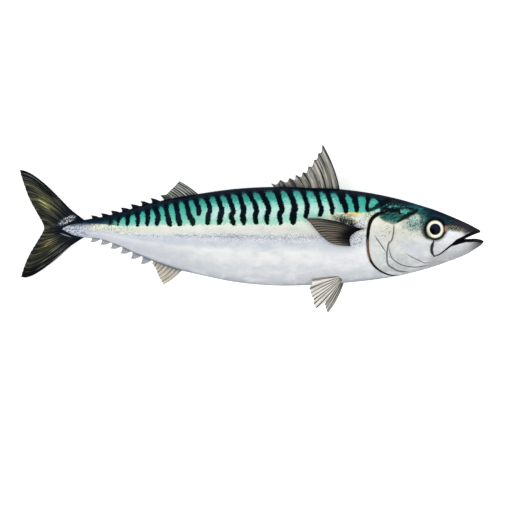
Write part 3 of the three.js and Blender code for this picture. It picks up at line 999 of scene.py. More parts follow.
# Patches with no sharp edge: centre, reach, slope, grain, softness, colour, strength.
PATCHES = [
    ((97.0, 0.6), (7.0, 3.6), 0, 0.9, 0.7, "e9ebd6", 0.45),
    ((113.0, -3.6), (8.0, 4.0), 0, 0.9, 0.7, "e2e5cf", 0.5),
    ((115.6, 3.6), (6.4, 3.4), 15, 1.1, 0.6, "86a8a2", 0.85),
    ((118.4, 1.2), (4.6, 3.6), 0, 1.1, 0.7, "6d9189", 0.7),
    ((116.6, 6.6), (3.0, 1.2), 10, 1.0, 0.6, "9fd0c6", 0.8),
    ((122.4, 3.4), (2.2, 4.2), 0, 0.9, 0.6, "173a40", 0.75),
    # the next two are painted shade round the eye's lower left
    ((123.8, -3.4), (1.9, 4.4), 28, 0.7, 0.6, "2f352e", 0.85),
    ((126.0, -6.0), (2.6, 1.5), -45, 0.6, 0.5, "12181a", 0.85),
    ((130.6, 9.4), (9.0, 3.4), -14, 0.8, 0.7, "0a1f2a", 0.75),
    ((133.0, 8.2), (4.0, 1.0), -14, 0.7, 0.6, "1c3a52", 0.5),
    ((146.0, -0.3), (5.6, 1.7), -12, 1.6, 0.6, "9c9a84", 0.9),
    ((155.4, -4.2), (4.4, 0.75), 14, 0.4, 0.6, "a3abad", 0.8),
    ((72.5, 9.8), (5.8, 1.1), 4, 1.2, 0.6, "ecd77a", 0.85),
    ((71.0, 9.6), (2.2, 0.6), 0, 0.9, 0.7, "e0a466", 0.8),
    ((79.0, 3.0), (3.6, 3.2), 60, 0.9, 0.6, "cfd3da", 0.9),
    ((75.0, -7.0), (3.6, 3.8), 0, 0.9, 0.7, "dde2e8", 0.65),
    ((100.0, -7.0), (6.0, 7.0), 0, 0.8, 0.6, "e9e7da", 0.45),
    ((107.0, -22.0), (6.0, 5.0), 0, 0.9, 0.6, "b3b8b4", 0.4),
    ((116.0, -16.0), (7.0, 4.0), -20, 0.9, 0.7, "bdc1d0", 0.55),
    ((158.0, -13.4), (7.0, 3.2), 20, 0.6, 0.7, "8b8a88", 0.35),
    ((61.0, -15.0), (13.0, 5.0), 0, 0.8, 0.7, "c3ccd8", 0.5),
]

# Specks behind the eye, round the pectoral fin's root, on the gill cover and on the snout:
# centre, reach, slope, amount, size, colour, strength.
DOTTED = [
    ((116.0, 3.0), (7.5, 5.0), 10, 0.9, 1.2, "234a4a", 0.8),
    ((116.4, 3.2), (7.5, 5.5), 10, 0.75, 1.0, "e0efe9", 0.7),
    ((104.0, 13.6), (12.0, 4.0), -8, 0.9, 1.3, "030c15", 0.8),
    ((104.0, 13.4), (12.0, 3.4), -8, 0.6, 1.0, "8ccfbd", 0.75),
    ((94.6, 12.0), (3.2, 1.3), 8, 0.95, 0.9, "e8f4ee", 0.75),
    ((87.0, 10.2), (5.0, 2.2), 10, 0.85, 0.9, "f4f8ee", 0.7),
    ((87.6, 10.4), (5.0, 2.2), 10, 0.85, 1.1, "10201e", 0.8),
    ((116.0, -2.6), (7.0, 3.0), 0, 0.6, 0.9, "8a9286", 0.5),
    ((69.4, 3.8), (10.0, 2.8), -20, 1.25, 0.85, "0b1316", 0.95),
    ((66.0, 8.4), (9.0, 1.6), 0, 0.95, 0.8, "1d2a2a", 0.7),
    ((78.6, 3.0), (5.0, 3.6), 60, 1.1, 0.7, "f8fafc", 0.9),
    ((78.6, 2.8), (5.0, 4.0), 60, 0.8, 0.65, "343a42", 0.8),
    ((75.0, -7.0), (4.0, 4.5), 0, 0.7, 1.0, "4a525e", 0.7),
    ((84.0, 8.6), (5.0, 2.6), 20, 0.75, 0.8, "20302f", 0.7),
    ((97.0, -2.0), (6.0, 9.0), 0, 0.6, 1.0, "434a40", 0.75),
    ((74.0, -9.0), (5.0, 5.0), 0, 0.8, 1.0, "667080", 0.65),
    ((101.0, -8.0), (9.0, 8.0), 0, 0.45, 0.8, "63685c", 0.7),
    ((116.0, -2.0), (9.0, 6.0), 0, 0.6, 1.0, "4d5446", 0.75),
    ((112.0, -14.0), (10.0, 8.0), 0, 0.45, 0.9, "8d93a4", 0.6),
    ((97.0, -21.0), (4.0, 8.0), 10, 0.6, 0.8, "6f7466", 0.65),
    ((106.0, -24.0), (6.0, 5.0), 0, 0.7, 0.8, "666b6a", 0.55),
    ((148.0, -14.0), (12.0, 3.0), 22, 0.6, 0.9, "8e8f90", 0.6),
    ((142.0, -8.0), (8.0, 4.0), 30, 0.4, 0.9, "9a9fa5", 0.6),
    ((145.6, 0.4), (6.4, 2.8), -12, 1.05, 0.75, "121316", 0.9),
]


def lay_spots(coat):
    """The soft patches, the painted shadow hatched behind the gill cover, and the specks."""
    for centre, reach, turn, grain, soft, code, strength in PATCHES:
        mask = coat.oval(centre, reach, turn, grain, soft)
        coat.lay(mask * strength, code)
    # painted shadow: dark hatched strokes just above the pectoral fin's root
    strokes = noise(stretched(coat.here, (1.5, 0.5, 1.0)), 0.8, 3.0, 0.65)
    hatched_shadow = coat.oval((69.6, 4.0), (11.0, 3.2), -20, 0.6, 0.5) * strokes.step(0.46, 0.53) * 0.95
    coat.lay(hatched_shadow, "0a1214")
    for centre, reach, turn, amount, size, code, strength in DOTTED:
        dots = coat.specks(amount, size)
        mask = coat.oval(centre, reach, turn) * dots * strength
        coat.lay(mask, code)


def lay_marks(coat):
    """Marks with an edge: black, turquoise and pale. Gives where the black ones are."""
    blur = coat.x.step(100.0, 110.0, 0.45, 0.9)
    black = ragged(coat.field("black_marks"), 1.4, 2.2, blur)
    coat.lay(black * 0.95, "030d16")
    bright = ragged(coat.field("bright_marks"), 2.4, 3.0, 0.5)
    bright_colour = layered(coat.fine.step(0.38, 0.6), "6cc7b2", "178274")
    coat.lay(bright * 0.92, bright_colour)
    whitish = ragged(coat.field("pale_marks"), 0.9, 1.6, 0.4)
    coat.lay(whitish * 0.6, "c9e6dc")
    return black


def lay_lines(coat):
    """The seams, the gill slot, the rims of the eye and the lips. Gives the seams, slot and lips."""
    x, y, mottle = coat.x, coat.y, coat.mottle
    seam = ragged(coat.field("seams") - 1.0, 0.5, 0.5, 0.45)
    by_mouth = x.step(126.0, 128.5, 0.8, 0.97)
    seam_colour = layered(x.step(126.0, 128.5), "3f4245", "0c0d0f")
    coat.lay(seam * by_mouth, seam_colour)
    gill = ragged(coat.field("gill") - 1.0, 0.35, 0.6, 0.3)
    rust = y.step(-24.5, -20.0) * y.step(-11.0, -6.5, 1.0, 0.0)
    gill_colour = layered(rust, "0d0f0c", "775a4e")
    coat.lay(gill, gill_colour)
    eye = mottle * 0.8 + coat.field("eye")
    shade = eye.step(7.9, 10.6, 1.0, 0.0) * y.step(-5.0, 4.0, 0.5, 0.85)
    coat.lay(shade, "0b161b")
    rim = eye.step(7.6, 8.4, 1.0, 0.0) * 0.97
    coat.lay(rim, "05080b")
    tear = coat.oval((139.6, -0.6), (1.3, 2.1), 0, 0.7, 0.5) * 0.85
    coat.lay(tear, "a08378")
    lips = mottle * 0.35 + coat.field("lips")
    lip = lips.step(-0.3, 0.3, 1.0, 0.0)
    coat.lay(lip, "070709")
    jaw_tip = x.step(154.0, 164.0) * 0.85
    coat.lay(jaw_tip, "232224")
    lining = coat.field("lining").step(0.7, 1.3)
    coat.lay(lining, "41302f")
    return seam, gill, lip


def skin_material():
    coat = plain_skin()
    lay_silver(coat)
    above = lay_turquoise(coat)
    light, dim = lay_clouds(coat)
    lay_stalk(coat, above)
    lay_head(coat, light, dim)
    barred = lay_bars(coat)
    crowned = lay_crown(coat)
    lay_spots(coat)
    black = lay_marks(coat)
    seam, gill, lip = lay_lines(coat)

    # wet surface: fine scales under a clear film
    cells = {"Vector": stretched(coat.here, (0.75, 1.0, 0.9)), "Scale": 1.1}
    scale = shader(coat.tree, "ShaderNodeTexVoronoi", cells, out="Distance", feature="SMOOTH_F1")
    wrinkle = noise(stretched(coat.here, (0.4, 0.9, 0.7)), 0.35, 4.0)
    height = wrinkle * 0.9 + scale * 0.35
    height = seam * -0.6 + height
    height = gill * -1.2 + height
    bumps = {"Height": height, "Strength": 0.35, "Distance": 0.25 * MM}

    # dark skin soaks up light, and the silver throws it back
    darkest = highest(barred, crowned, gill, lip, black * coat.off_head)
    silvery = coat.level.step(0.5, 0.56, 1.0, 0.0) * 0.22
    return coat.finish({
        "Base Color": coat.colour,
        "Normal": shader(coat.tree, "ShaderNodeBump", bumps),
        "Roughness": coat.patchy * 0.22 + 0.28,
        "Metallic": highest(silvery, darkest * 0.92),
        "Coat Weight": darkest * -0.1 + 0.14,
        "Coat Roughness": 0.15,
        "Specular IOR Level": 0.16,
        "Specular Tint": (0.25, 0.3, 0.38, 1.0),
    })


body.data.materials.clear()
body.data.materials.append(skin_material())
body.data.set_sharp_from_angle(angle=math.radians(55))
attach(body, "root")
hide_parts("body")


# ---- Eyes ---------------------------------------------------------------------------------
# Two firm clear-fronted balls, each sunk in a socket of the skull and held by the skin round
# it: a wide dark pupil in a cream iris. The left one faces the surface that the fish lies on.

EYE_RIM = 7.35
CLEAR_FRONT = 14.0  # radius of the clear front's curve
EYE_PROUD = 0.7
EYE_BACK = -2.8


def eyeball(name, side):
    """The front of an eye, closed behind. side is 1 on the right flank and -1 on the left."""
    across = Vector((0, 1, 0)).cross(EYE_LEAN).normalized()
    upward = EYE_LEAN.cross(across)
    middle = Vector((EYE[0], EYE[1], float(flank_at(*EYE))))
    fine = EYE_RIM * np.sin(np.linspace(0.04, 1.0, 30) * math.pi / 2)
    profile = [(r, EYE_PROUD + math.sqrt(CLEAR_FRONT**2 - r**2) - CLEAR_FRONT) for r in fine]
    profile += [(EYE_RIM, EYE_BACK), (EYE_RIM * 0.5, EYE_BACK)]
    around = 96
    shape = bmesh.new()

    def place(r, turn, out):
        at = middle + (across * math.cos(turn) + upward * math.sin(turn)) * r + EYE_LEAN * out
        return shape.verts.new(Vector((at.x, at.y, float(middle_at(at.x)) + side * at.z)) * MM)

    front, back = place(0, 0, EYE_PROUD), place(0, 0, EYE_BACK)
    rings = [[place(r, 2 * math.pi * i / around, out) for i in range(around)] for r, out in profile]
    for i in range(around):
        j = (i + 1) % around
        shape.faces.new((front, rings[0][i], rings[0][j]))
        shape.faces.new((back, rings[-1][j], rings[-1][i]))
        for inner, outer in zip(rings, rings[1:]):
            shape.faces.new((inner[i], outer[i], outer[j], inner[j]))
    bmesh.ops.recalc_face_normals(shape, faces=shape.faces)
    mesh = bpy.data.meshes.new(name)
    shape.to_mesh(mesh)
    shape.free()
    x, y, _ = points_of(mesh)
    lay_fields(mesh, {"radius": eye_distance(x, y)})
    return add_piece(name, mesh)


def eye_material():
    coat = Coat("clear_eye")
    mottle = noise(millimetres(coat.tree), 0.9, 3.0) - 0.5
    radius = mottle * 0.5 + coat.field("radius")
    iris = [
        (0.0, "02061c"), (0.455, "030719"), (0.495, "10141c"), (0.53, "a7ad97"), (0.56, "fafaee"),
        (0.70, "f4f5e6"), (0.76, "dfe2c0"), (0.80, "9b9c78"), (0.84, "2b2c24"), (1.0, "07090b"),
    ]
    coat.colour = ramp(radius / (EYE_RIM + 0.6), iris)
    # painted shade: olive over the lower left of the cream iris ring
    olive = coat.oval((EYE[0] - 4.6, EYE[1] - 3.0), (1.6, 3.0), 0, 0.8, 0.6) * 0.6
    coat.lay(olive * radius.step(4.6, 5.4), "a9ac80")
    # painted reflection: a bluish glow screened onto the upper part of the pupil
    pupil_reflection = coat.oval((EYE[0] - 0.4, EYE[1] + 1.8), (2.2, 1.6), 0, 0.6, 0.7)
    coat.lay(pupil_reflection * 0.35, "10164a", "SCREEN")
    return coat.finish({
        "Base Color": coat.colour,
        "Metallic": radius.step(3.8, 4.3, 0.95, 0.0),
        "Specular Tint": (0.25, 0.3, 0.4, 1.0),
        "Specular IOR Level": 0.2,
        "Roughness": 0.25,
        "Coat Weight": 0.22,
        "Coat Roughness": 0.03,
    })


clear_eye = eye_material()
for side_name, side in (("right", 1), ("left", -1)):
    eye = eyeball(f"fish_eye_{side_name}", side)
    eye.data.materials.append(clear_eye)
    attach(eye, "root")
    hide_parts(f"eye_{side_name}")


# ---- First dorsal fin ---------------------------------------------------------------------
# Nine stiff spines in a thin grey membrane, rooted in the back. The membrane runs from behind
# each spine's tip to the tip of the next, so the fin's edge is a row of teeth.


def even(path, count):
    """Points evenly spaced along a path."""
    run = np.concatenate([[0.0], np.cumsum(np.hypot(*np.diff(path, axis=0).T))])
    at = np.linspace(0.0, run[-1], count)
    return np.stack([np.interp(at, run, path[:, 0]), np.interp(at, run, path[:, 1])], 1)


def fin_mesh(name, rays, lie, root_half, tip_half, web_half, notches, lean=1.0, between=8, fold=0.0):
    """A closed fin from rows of points along its rays, with so many columns from one ray to the next.

    lie gives its height at x and y. Its half thickness is root_half to tip_half on a ray and
    web_half between rays. The web's edge stands back from the tips by notches, most near the next
    ray where lean is over 1. fold is how far the rays stand above and below that height in turn.
    """
    count, steps = rays.shape[:2]
    column = np.arange((count - 1) * between + 1)
    gap = np.minimum(column // between, count - 2)
    share = column / between - gap
    w = share[:, None, None]
    path = (1 - w) * rays[gap] + w * rays[gap + 1]
    length = np.hypot(*np.diff(path, axis=1).transpose(2, 0, 1)).sum(1)
    notch = np.broadcast_to(notches, count - 1)[gap]
    reach = 1.0 - notch * np.sin(math.pi * share**lean) / length
    s = np.linspace(0.0, 1.0, steps)
    points = np.empty_like(path)
    for i in range(len(column)):
        at = s * reach[i]
        points[i] = np.stack([np.interp(at, s, path[i, :, 0]), np.interp(at, s, path[i, :, 1])], 1)
    spread = np.hypot(*(rays[gap + 1] - rays[gap]).transpose(2, 0, 1))
    off_ray = np.minimum(share, 1 - share)[:, None] * spread
    ray_half = root_half + (tip_half - root_half) * s[None] ** 0.8
    ridge = np.exp(-((off_ray / (1.5 * ray_half + 0.08)) ** 2))
    half = web_half + (np.maximum(ray_half, web_half) - web_half) * ridge
    to_edge = (1 - s)[None] * length[:, None]
    half = half * (0.3 + 0.7 * eased(0.0, 0.9, to_edge))
    zigzag = np.cos(math.pi * column / between)[:, None] * s[None]
    z = lie(points[..., 0], points[..., 1]) + fold * zigzag
    top = np.dstack([points, z + half])
    under = np.dstack([points, z - half])
    rows = len(column)
    number = np.arange(rows * steps).reshape(rows, steps)
    quads = np.stack([number[:-1, :-1], number[1:, :-1], number[1:, 1:], number[:-1, 1:]], -1).reshape(-1, 4)
    rim = np.concatenate([number[:, 0], number[-1, 1:], number[-2::-1, -1], number[0, -2:0:-1]])
    after = np.roll(rim, -1)
    lower = rows * steps
    walls = np.stack([rim, rim + lower, after + lower, after], -1)
    faces = np.vstack([quads, quads[:, ::-1] + lower, walls])
    mesh = bpy.data.meshes.new(name)
    both = np.vstack([top.reshape(-1, 3), under.reshape(-1, 3)]) * MM
    mesh.from_pydata(both.tolist(), [], faces.tolist())
    shape = bmesh.new()
    shape.from_mesh(mesh)
    bmesh.ops.recalc_face_normals(shape, faces=shape.faces)
    shape.to_mesh(mesh)
    shape.free()
    along = np.broadcast_to(s, (rows, steps)).ravel()
    across = np.broadcast_to((column / between)[:, None], (rows, steps)).ravel()
    web = np.broadcast_to((2 * np.minimum(share, 1 - share))[:, None], (rows, steps)).ravel()
    lay_fields(mesh, {"along": np.tile(along, 2), "across": np.tile(across, 2), "web": np.tile(web, 2)})
    return mesh


def above_back(x, y):
    """Height of a fin that stands out from the back and sags a little under its own weight."""
    return middle_at(x) - 0.004 * np.clip(y - back_at(x), 0.0, None) ** 2


def bent_ray(root, tip, bow, steps=40):
    """A ray from root to tip that bows to its right by a share of its length."""
    root, tip = np.array(root, float), np.array(tip, float)
    s = np.linspace(0.0, 1.0, steps)[:, None]
    aside = np.array((tip[1] - root[1], root[0] - tip[0]))
    return root + (tip - root) * s + aside * bow * 4 * s * (1 - s)


# Root and tip of each spine, from the head to the tail, and how far the web stands back.
SPINES = [
    ((63.6, 26.0), (50.9, 60.3), 1.9),
    ((58.4, 26.4), (47.9, 53.9), 1.6),
    ((53.5, 26.8), (45.1, 49.3), 2.0),
    ((48.9, 27.0), (40.7, 44.3), 2.2),
    ((43.3, 27.2), (36.8, 40.2), 2.8),
    ((38.6, 27.4), (31.7, 38.2), 2.9),
    ((33.0, 27.6), (27.2, 35.9), 3.0),
    ((24.9, 27.6), (20.6, 34.6), 2.4),
    ((16.6, 27.6), (13.4, 32.3), 0.0),
]

# Colour of a fin: its rays over its web, streaked along the rays, from its root to its rim.
values = ("Along", "Across", "Web", "Root Reach", "Rim Reach", "Width", "Lines", "Streaks")
colours = ("Membrane", "Light", "Ray", "Root", "Rim")
inputs = dict.fromkeys(values, "value") | dict.fromkeys(colours, "colour")
rayed_web, given, result = effect("rayed_web", inputs, {"Colour": "colour", "Height": "value"})
place = shader(rayed_web, "ShaderNodeCombineXYZ", {0: given["Across"], 1: given["Along"]})
hair = noise(stretched(place, (2.3, 0.9, 1)), 1.0, 4.0, 0.6)
thin = noise(stretched(place, (4.3, 1.0, 1)), 1.0, 3.0, 0.6)
each = noise(stretched(place, (0.83, 0.7, 1)), 1.0, 2.0, 0.5)
colour = layered(hair.step(0.5, 0.64) * given["Streaks"], given["Membrane"], given["Light"])
colour = layered(thin.step(0.52, 0.59) * given["Streaks"], colour, given["Ray"])
uneven = (hair - 0.5) * 0.4 + given["Web"]
line = uneven.step(given["Width"] * 0.4, given["Width"], 1.0, 0.0, "LINEAR")
line = line * each.step(0.36, 0.56, 0.55, 1.0)
colour = layered(line * given["Lines"], colour, given["Ray"])
near = (hair - 0.5) * 0.3 + given["Along"]
colour = layered(near.step(0.02, given["Root Reach"], 1.0, 0.0, "LINEAR"), colour, given["Root"])
rim = (1.0 - given["Along"]).step(0.0, given["Rim Reach"], 1.0, 0.0, "LINEAR")
fill(result, {"Colour": layered(rim, colour, given["Rim"]), "Height": line * 0.8 + thin * 0.7})


def fin_coat(name, **values):
    """Starts a fin's coat with the rayed web in its own colours, and the ridges of its rays."""
    coat = Coat(name)
    inputs = {label: coat.field(label.lower()) for label in ("Along", "Across", "Web")}
    inputs |= {label.replace("_", " "): value for label, value in values.items()}
    coat.colour = shader(coat.tree, "ShaderNodeGroup", inputs, out="Colour", node_tree=rayed_web)
    coat.ridges = coat.colour.beside("Height")
    return coat


def fin_finish(coat, roughness, depth, others=()):
    """Gives a fin's surface its colour, its low ridges and a damp gloss."""
    bumps = {"Height": coat.ridges, "Strength": 0.5, "Distance": depth * MM}
    damp = {"Base Color": coat.colour, "Roughness": roughness, "Specular IOR Level": 0.2}
    damp["Normal"] = shader(coat.tree, "ShaderNodeBump", bumps)
    return coat.finish(damp | dict(others))


def grey_fin_material():
    coat = fin_coat(
        "grey_membrane", Membrane="95938a", Light="d9d7ce", Ray="141615", Root="1b2226", Rim="2c2d2b",
        Root_Reach=0.14, Rim_Reach=0.05, Width=0.3, Lines=1.0, Streaks=0.75,
    )
    along, across = coat.field("along"), coat.field("across")
    low = across.step(3.6, 7.4) * along.step(0.2, 0.8, 0.9, 0.25)
    coat.lay(low, "12232c")
    coat.lay(across.step(0.12, 0.3, 0.95, 0.0), "101314")
    return fin_finish(coat, 0.5, 0.25)


spines = np.array([bent_ray(root, tip, 0.045) for root, tip, _ in SPINES])
notches = np.array([back for _, _, back in SPINES[:-1]])
sail = add_piece("first_dorsal", fin_mesh(
    "first_dorsal", spines, above_back, root_half=0.75, tip_half=0.3, web_half=0.14, notches=notches,
    lean=1.5, between=14,
))
grey_membrane = grey_fin_material()
sail.data.materials.append(grey_membrane)
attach(sail, "root")
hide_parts("first_dorsal_fin")


# ---- Second dorsal fin --------------------------------------------------------------------
# A low fin of soft rays in a clear web, rooted in the back. The rays lean to the tail, and the
# last ones make a small lobe of their own.


def ray_patch(front, rear, base, outer, count, steps=30):
    """Rays of a fin, each from its base to its outer edge, spread from its front edge to its rear one."""
    k = np.linspace(0, 1, count)[:, None, None]
    s = np.linspace(0, 1, steps)[None, :, None]
    front, rear = even(curve_through(front), steps)[None], even(curve_through(rear), steps)[None]
    base, outer = even(curve_through(base), count)[:, None], even(curve_through(outer), count)[:, None]
    near, far = front[:, :1] * (1 - k) + rear[:, :1] * k, front[:, -1:] * (1 - k) + rear[:, -1:] * k
    return (1 - k) * front + k * rear + (1 - s) * (base - near) + s * (outer - far)


low_rays = ray_patch(
    front=[(-36.5, 22.6), (-44.4, 28.9), (-50.8, 32.9), (-52.8, 33.7)],
    rear=[(-61.6, 17.8), (-64.4, 21.6), (-66.2, 23.9)],
    base=[(-36.5, 22.6), (-49.0, 20.4), (-61.6, 17.8)],
    outer=[(-52.8, 33.7), (-55.5, 30.5), (-60.2, 26.0), (-62.0, 24.1), (-66.2, 23.9)],
    count=12,
)
low_sail = add_piece("second_dorsal", fin_mesh(
    "second_dorsal", low_rays, above_back, root_half=0.5, tip_half=0.16, web_half=0.12, notches=0.5,
    fold=0.12,
))


def soft_grey_material():
    coat = fin_coat(
        "soft_grey_membrane", Membrane="8d918a", Light="eceee6", Ray="080b0c", Root="0a141b", Rim="4c4d48",
        Root_Reach=0.36, Rim_Reach=0.05, Width=0.55, Lines=1.0, Streaks=0.85,
    )
    across = coat.field("across")
    coat.lay(across.step(7.6, 10.0, 0.0, 0.8), "14181a")
    coat.lay(across.step(0.1, 0.7, 0.9, 0.0), "121617")
    return fin_finish(coat, 0.5, 0.25)


soft_grey = soft_grey_material()
low_sail.data.materials.append(soft_grey)
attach(low_sail, "root")
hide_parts("second_dorsal_fin")


# ---- Finlets ------------------------------------------------------------------------------
# Small separate fins in a row along the back and the belly in front of the tail. Each is a few
# soft rays that meet in a point aimed at the tail.


def below_belly(x, y):
    """Height of a fin that stands out from the belly and sags a little under its own weight."""
    return middle_at(x) - 0.004 * np.clip(belly_at(x) - y, 0.0, None) ** 2


def finlet_rays(tip, edge_at, side):
    """Rays of one finlet, from a root in the body's edge to its tip. side is 1 on the back."""
    root = [(tip[0] + off, float(edge_at(tip[0] + off)) - side * 0.9) for off in (8.4, 5.0, 1.9)]
    heel = (tip[0] + 1.3, float(edge_at(tip[0] + 1.3)) + side * 0.25)
    bulge = 0.5 if side > 0 else -1.1
    straight = (0.45 * root[0][0] + 0.55 * tip[0], 0.45 * root[0][1] + 0.55 * tip[1] + bulge)
    hollow = (0.5 * (tip[0] + heel[0]) + 0.35, 0.5 * (tip[1] + heel[1]))
    return ray_patch([root[0], straight, tip], [root[2], heel], root, [tip, hollow, heel], 5, 18)


def finlet_material(name, metallic, **colours):
    coat = fin_coat(name, Root_Reach=0.4, Rim_Reach=0.2, Width=0.6, Lines=0.7, Streaks=0.5, **colours)
    return fin_finish(coat, 0.45, 0.15, {"Metallic": metallic})


dark_finlet = finlet_material(
    "dark_finlet", 0.85, Membrane="0c1e28", Light="2c4048", Ray="040a10", Root="07131d", Rim="16232a"
)
pale_finlet = finlet_material(
    "pale_finlet", 0.0, Membrane="b9bac2", Light="d6d6dc", Ray="6f727c", Root="979aa3", Rim="7a7c84"
)
for row, edge_at, lie, side, finish, slot in (
    ("dorsal", back_at, above_back, 1, dark_finlet, "back_fin"),
    ("anal", belly_at, below_belly, -1, pale_finlet, "pale_fin"),
):
    for node in sorted(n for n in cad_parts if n.startswith(f"{row}_finlet_")):
        low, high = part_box(node)
        tip = (low.x / MM - 0.9, high.y / MM if side > 0 else low.y / MM - 0.4)
        rays = finlet_rays(tip, edge_at, side)
        name = node.replace("finlet", "small_fin")
        finlet = add_piece(name, fin_mesh(
            name, rays, lie, root_half=0.42, tip_half=0.14, web_half=0.12, notches=0.25, between=4, fold=0.08
        ))
        finlet.data.materials.append(finish)
        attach(finlet, "root")
        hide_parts(node)


# ---- Anal fin -----------------------------------------------------------------------------
# A short fin of soft rays in a cream web, rooted in the belly behind the vent. Its rays are
# grey-brown, and its front edge is dark.


def pale_fin_material(name, folds=0.0, shaded=0.0, **values):
    """A pale web. folds widens each ray's colour near the root; shaded paints shade on its rear."""
    coat = fin_coat(name, Rim_Reach=0.035, Lines=0.95, Streaks=0.5, **values)
    along, across = coat.field("along"), coat.field("across")
    front = across.step(0.05, 0.22, 1.0, 0.0) * along.step(0.6, 0.95, 0.8, 0.1)
    coat.lay(front, "5b4a42")
    fold = coat.field("web").step(0.2, 0.8, 1.0, 0.0)
    coat.lay(fold * along.step(0.15, 0.75, folds, 0.0), values["Ray"])
    # painted shade over the rear of the web, as strong as shaded
    rear = across.step(2.3, 3.7) * along.step(0.2, 1.0, shaded, 0.3 * shaded)
    coat.lay(rear, values["Ray"])
    return fin_finish(coat, 0.5, 0.25)


vent_rays = ray_patch(
    front=[(-48.8, -29.0), (-55.6, -35.4), (-60.4, -38.9), (-63.9, -40.8)],
    rear=[(-70.4, -22.4), (-71.6, -26.2)],
    base=[(-48.8, -29.0), (-60.0, -25.8), (-70.4, -22.4)],
    outer=[(-63.9, -40.8), (-66.0, -37.3), (-67.6, -34.4), (-68.6, -31.4), (-69.6, -28.9), (-71.9, -26.0)],
    count=8,
)
vent_fin = add_piece("vent_fin", fin_mesh(
    "vent_fin", vent_rays, below_belly, root_half=0.5, tip_half=0.18, web_half=0.12, notches=0.4, fold=0.15
))
cream_web = pale_fin_material(
    "cream_membrane", Membrane="c6c0b1", Light="ece8dc", Ray="6d675b", Root="83817a", Rim="b4b09f",
    Root_Reach=0.26, Width=0.34,
)
vent_fin.data.materials.append(cream_web)
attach(vent_fin, "root")
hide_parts("anal_fin")


# ---- Pelvic fins --------------------------------------------------------------------------
# A pair of folding fans under the chest. The right one is spread over the belly's edge, and
# the left one hangs half folded below it, in the shade.

RIGHT_FAN = [
    ((64.0, -35.0), (42.9, -37.4), 0.01),
    ((64.0, -35.3), (41.0, -44.0), 0.02),
    ((64.1, -35.6), (42.0, -47.0), 0.01),
    ((64.2, -36.0), (42.8, -49.6), 0.0),
    ((64.3, -36.4), (44.1, -52.0), 0.0),
    ((64.4, -36.8), (44.0, -55.0), 0.0),
    ((64.5, -37.3), (45.7, -58.2), -0.01),
    ((64.7, -37.8), (52.0, -54.0), -0.02),
]
LEFT_FAN = [
    ((63.6, -36.6), (53.2, -52.6), -0.03),
    ((64.3, -36.8), (52.2, -55.6), -0.03),
    ((65.0, -37.0), (53.0, -58.4), -0.03),
    ((65.8, -37.1), (53.8, -60.6), -0.03),
    ((66.8, -37.2), (54.4, -61.7), -0.05),
]


def right_fan_lie(x, y):
    sunk = 0.45 * np.clip(x - 60.5, 0.0, None) ** 1.3
    return middle_at(x) + 11.4 + 0.2 * (y + 36.0) - sunk


def left_fan_lie(x, y):
    return middle_at(x) - 4.5 + 0.42 * (y + 38.0)


# one pale web painted twice: lit for the right fan, and darker for the left one as painted shade, since it
# hangs below in the shade
lit_web = pale_fin_material(
    "pale_membrane", 0.75, Membrane="e2dfd5", Light="fdfcf7", Ray="191a16", Root="6f6d66", Rim="cfccbf",
    Root_Reach=0.12, Width=0.45,
)
shaded_web = pale_fin_material(
    "shaded_membrane", 0.5, 0.6, Membrane="b9b9b0", Light="f4f3ec", Ray="131513", Root="0e1112",
    Rim="cccbb8", Root_Reach=0.3, Width=0.5,
)
for side_name, fan, lie, finish in (
    ("right", RIGHT_FAN, right_fan_lie, lit_web),
    ("left", LEFT_FAN, left_fan_lie, shaded_web),
):
    rays = np.array([bent_ray(*ray) for ray in fan])
    name = f"pelvic_fan_{side_name}"
    fan_piece = add_piece(name, fin_mesh(
        name, rays, lie, root_half=0.5, tip_half=0.22, web_half=0.12, notches=0.9, lean=0.9, between=10,
        fold=0.35,
    ))
    fan_piece.data.materials.append(finish)
    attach(fan_piece, "root")
    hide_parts(f"pelvic_fin_{side_name}")


# ---- Pectoral fins ------------------------------------------------------------------------
# A pair behind the gill covers, each of soft dark rays that spread from a black fleshy root.
# The right one lies back on the flank, and the left one is pressed flat under the fish.

PECTORAL_ROOT = 80.5
PECTORAL_TIP = 38.0


def right_pectoral_lie(x, y):
    share = np.clip((PECTORAL_ROOT - x) / (PECTORAL_ROOT - PECTORAL_TIP), 0.0, 1.0)
    return middle_at(x) + flank_at(x, y) + 0.35 + 2.4 * share


def left_pectoral_lie(x, y):
    return np.full(np.shape(x), 0.5 * FIN_UNDER)


def dark_fin_material():
    coat = fin_coat(
        "dark_membrane", Membrane="716a5e", Light="9c9384", Ray="0f0f0c", Root="05090e", Rim="3a3a36",
        Root_Reach=0.62, Rim_Reach=0.025, Width=0.62, Lines=1.0, Streaks=0.6,
    )
    black_root = coat.oval((74.0, -3.8), (12.0, 5.6), 20, 0.6, 0.5)
    coat.lay(black_root * 0.92, "04070c")
    upper = coat.field("across").step(0.4, 4.5, 0.85, 0.0)
    upper = upper * coat.field("along").step(0.55, 0.95, 1.0, 0.15)
    coat.lay(upper, "0b0e11")
    return fin_finish(coat, 0.42, 0.3, {"Metallic": highest(black_root, upper) * 0.85})


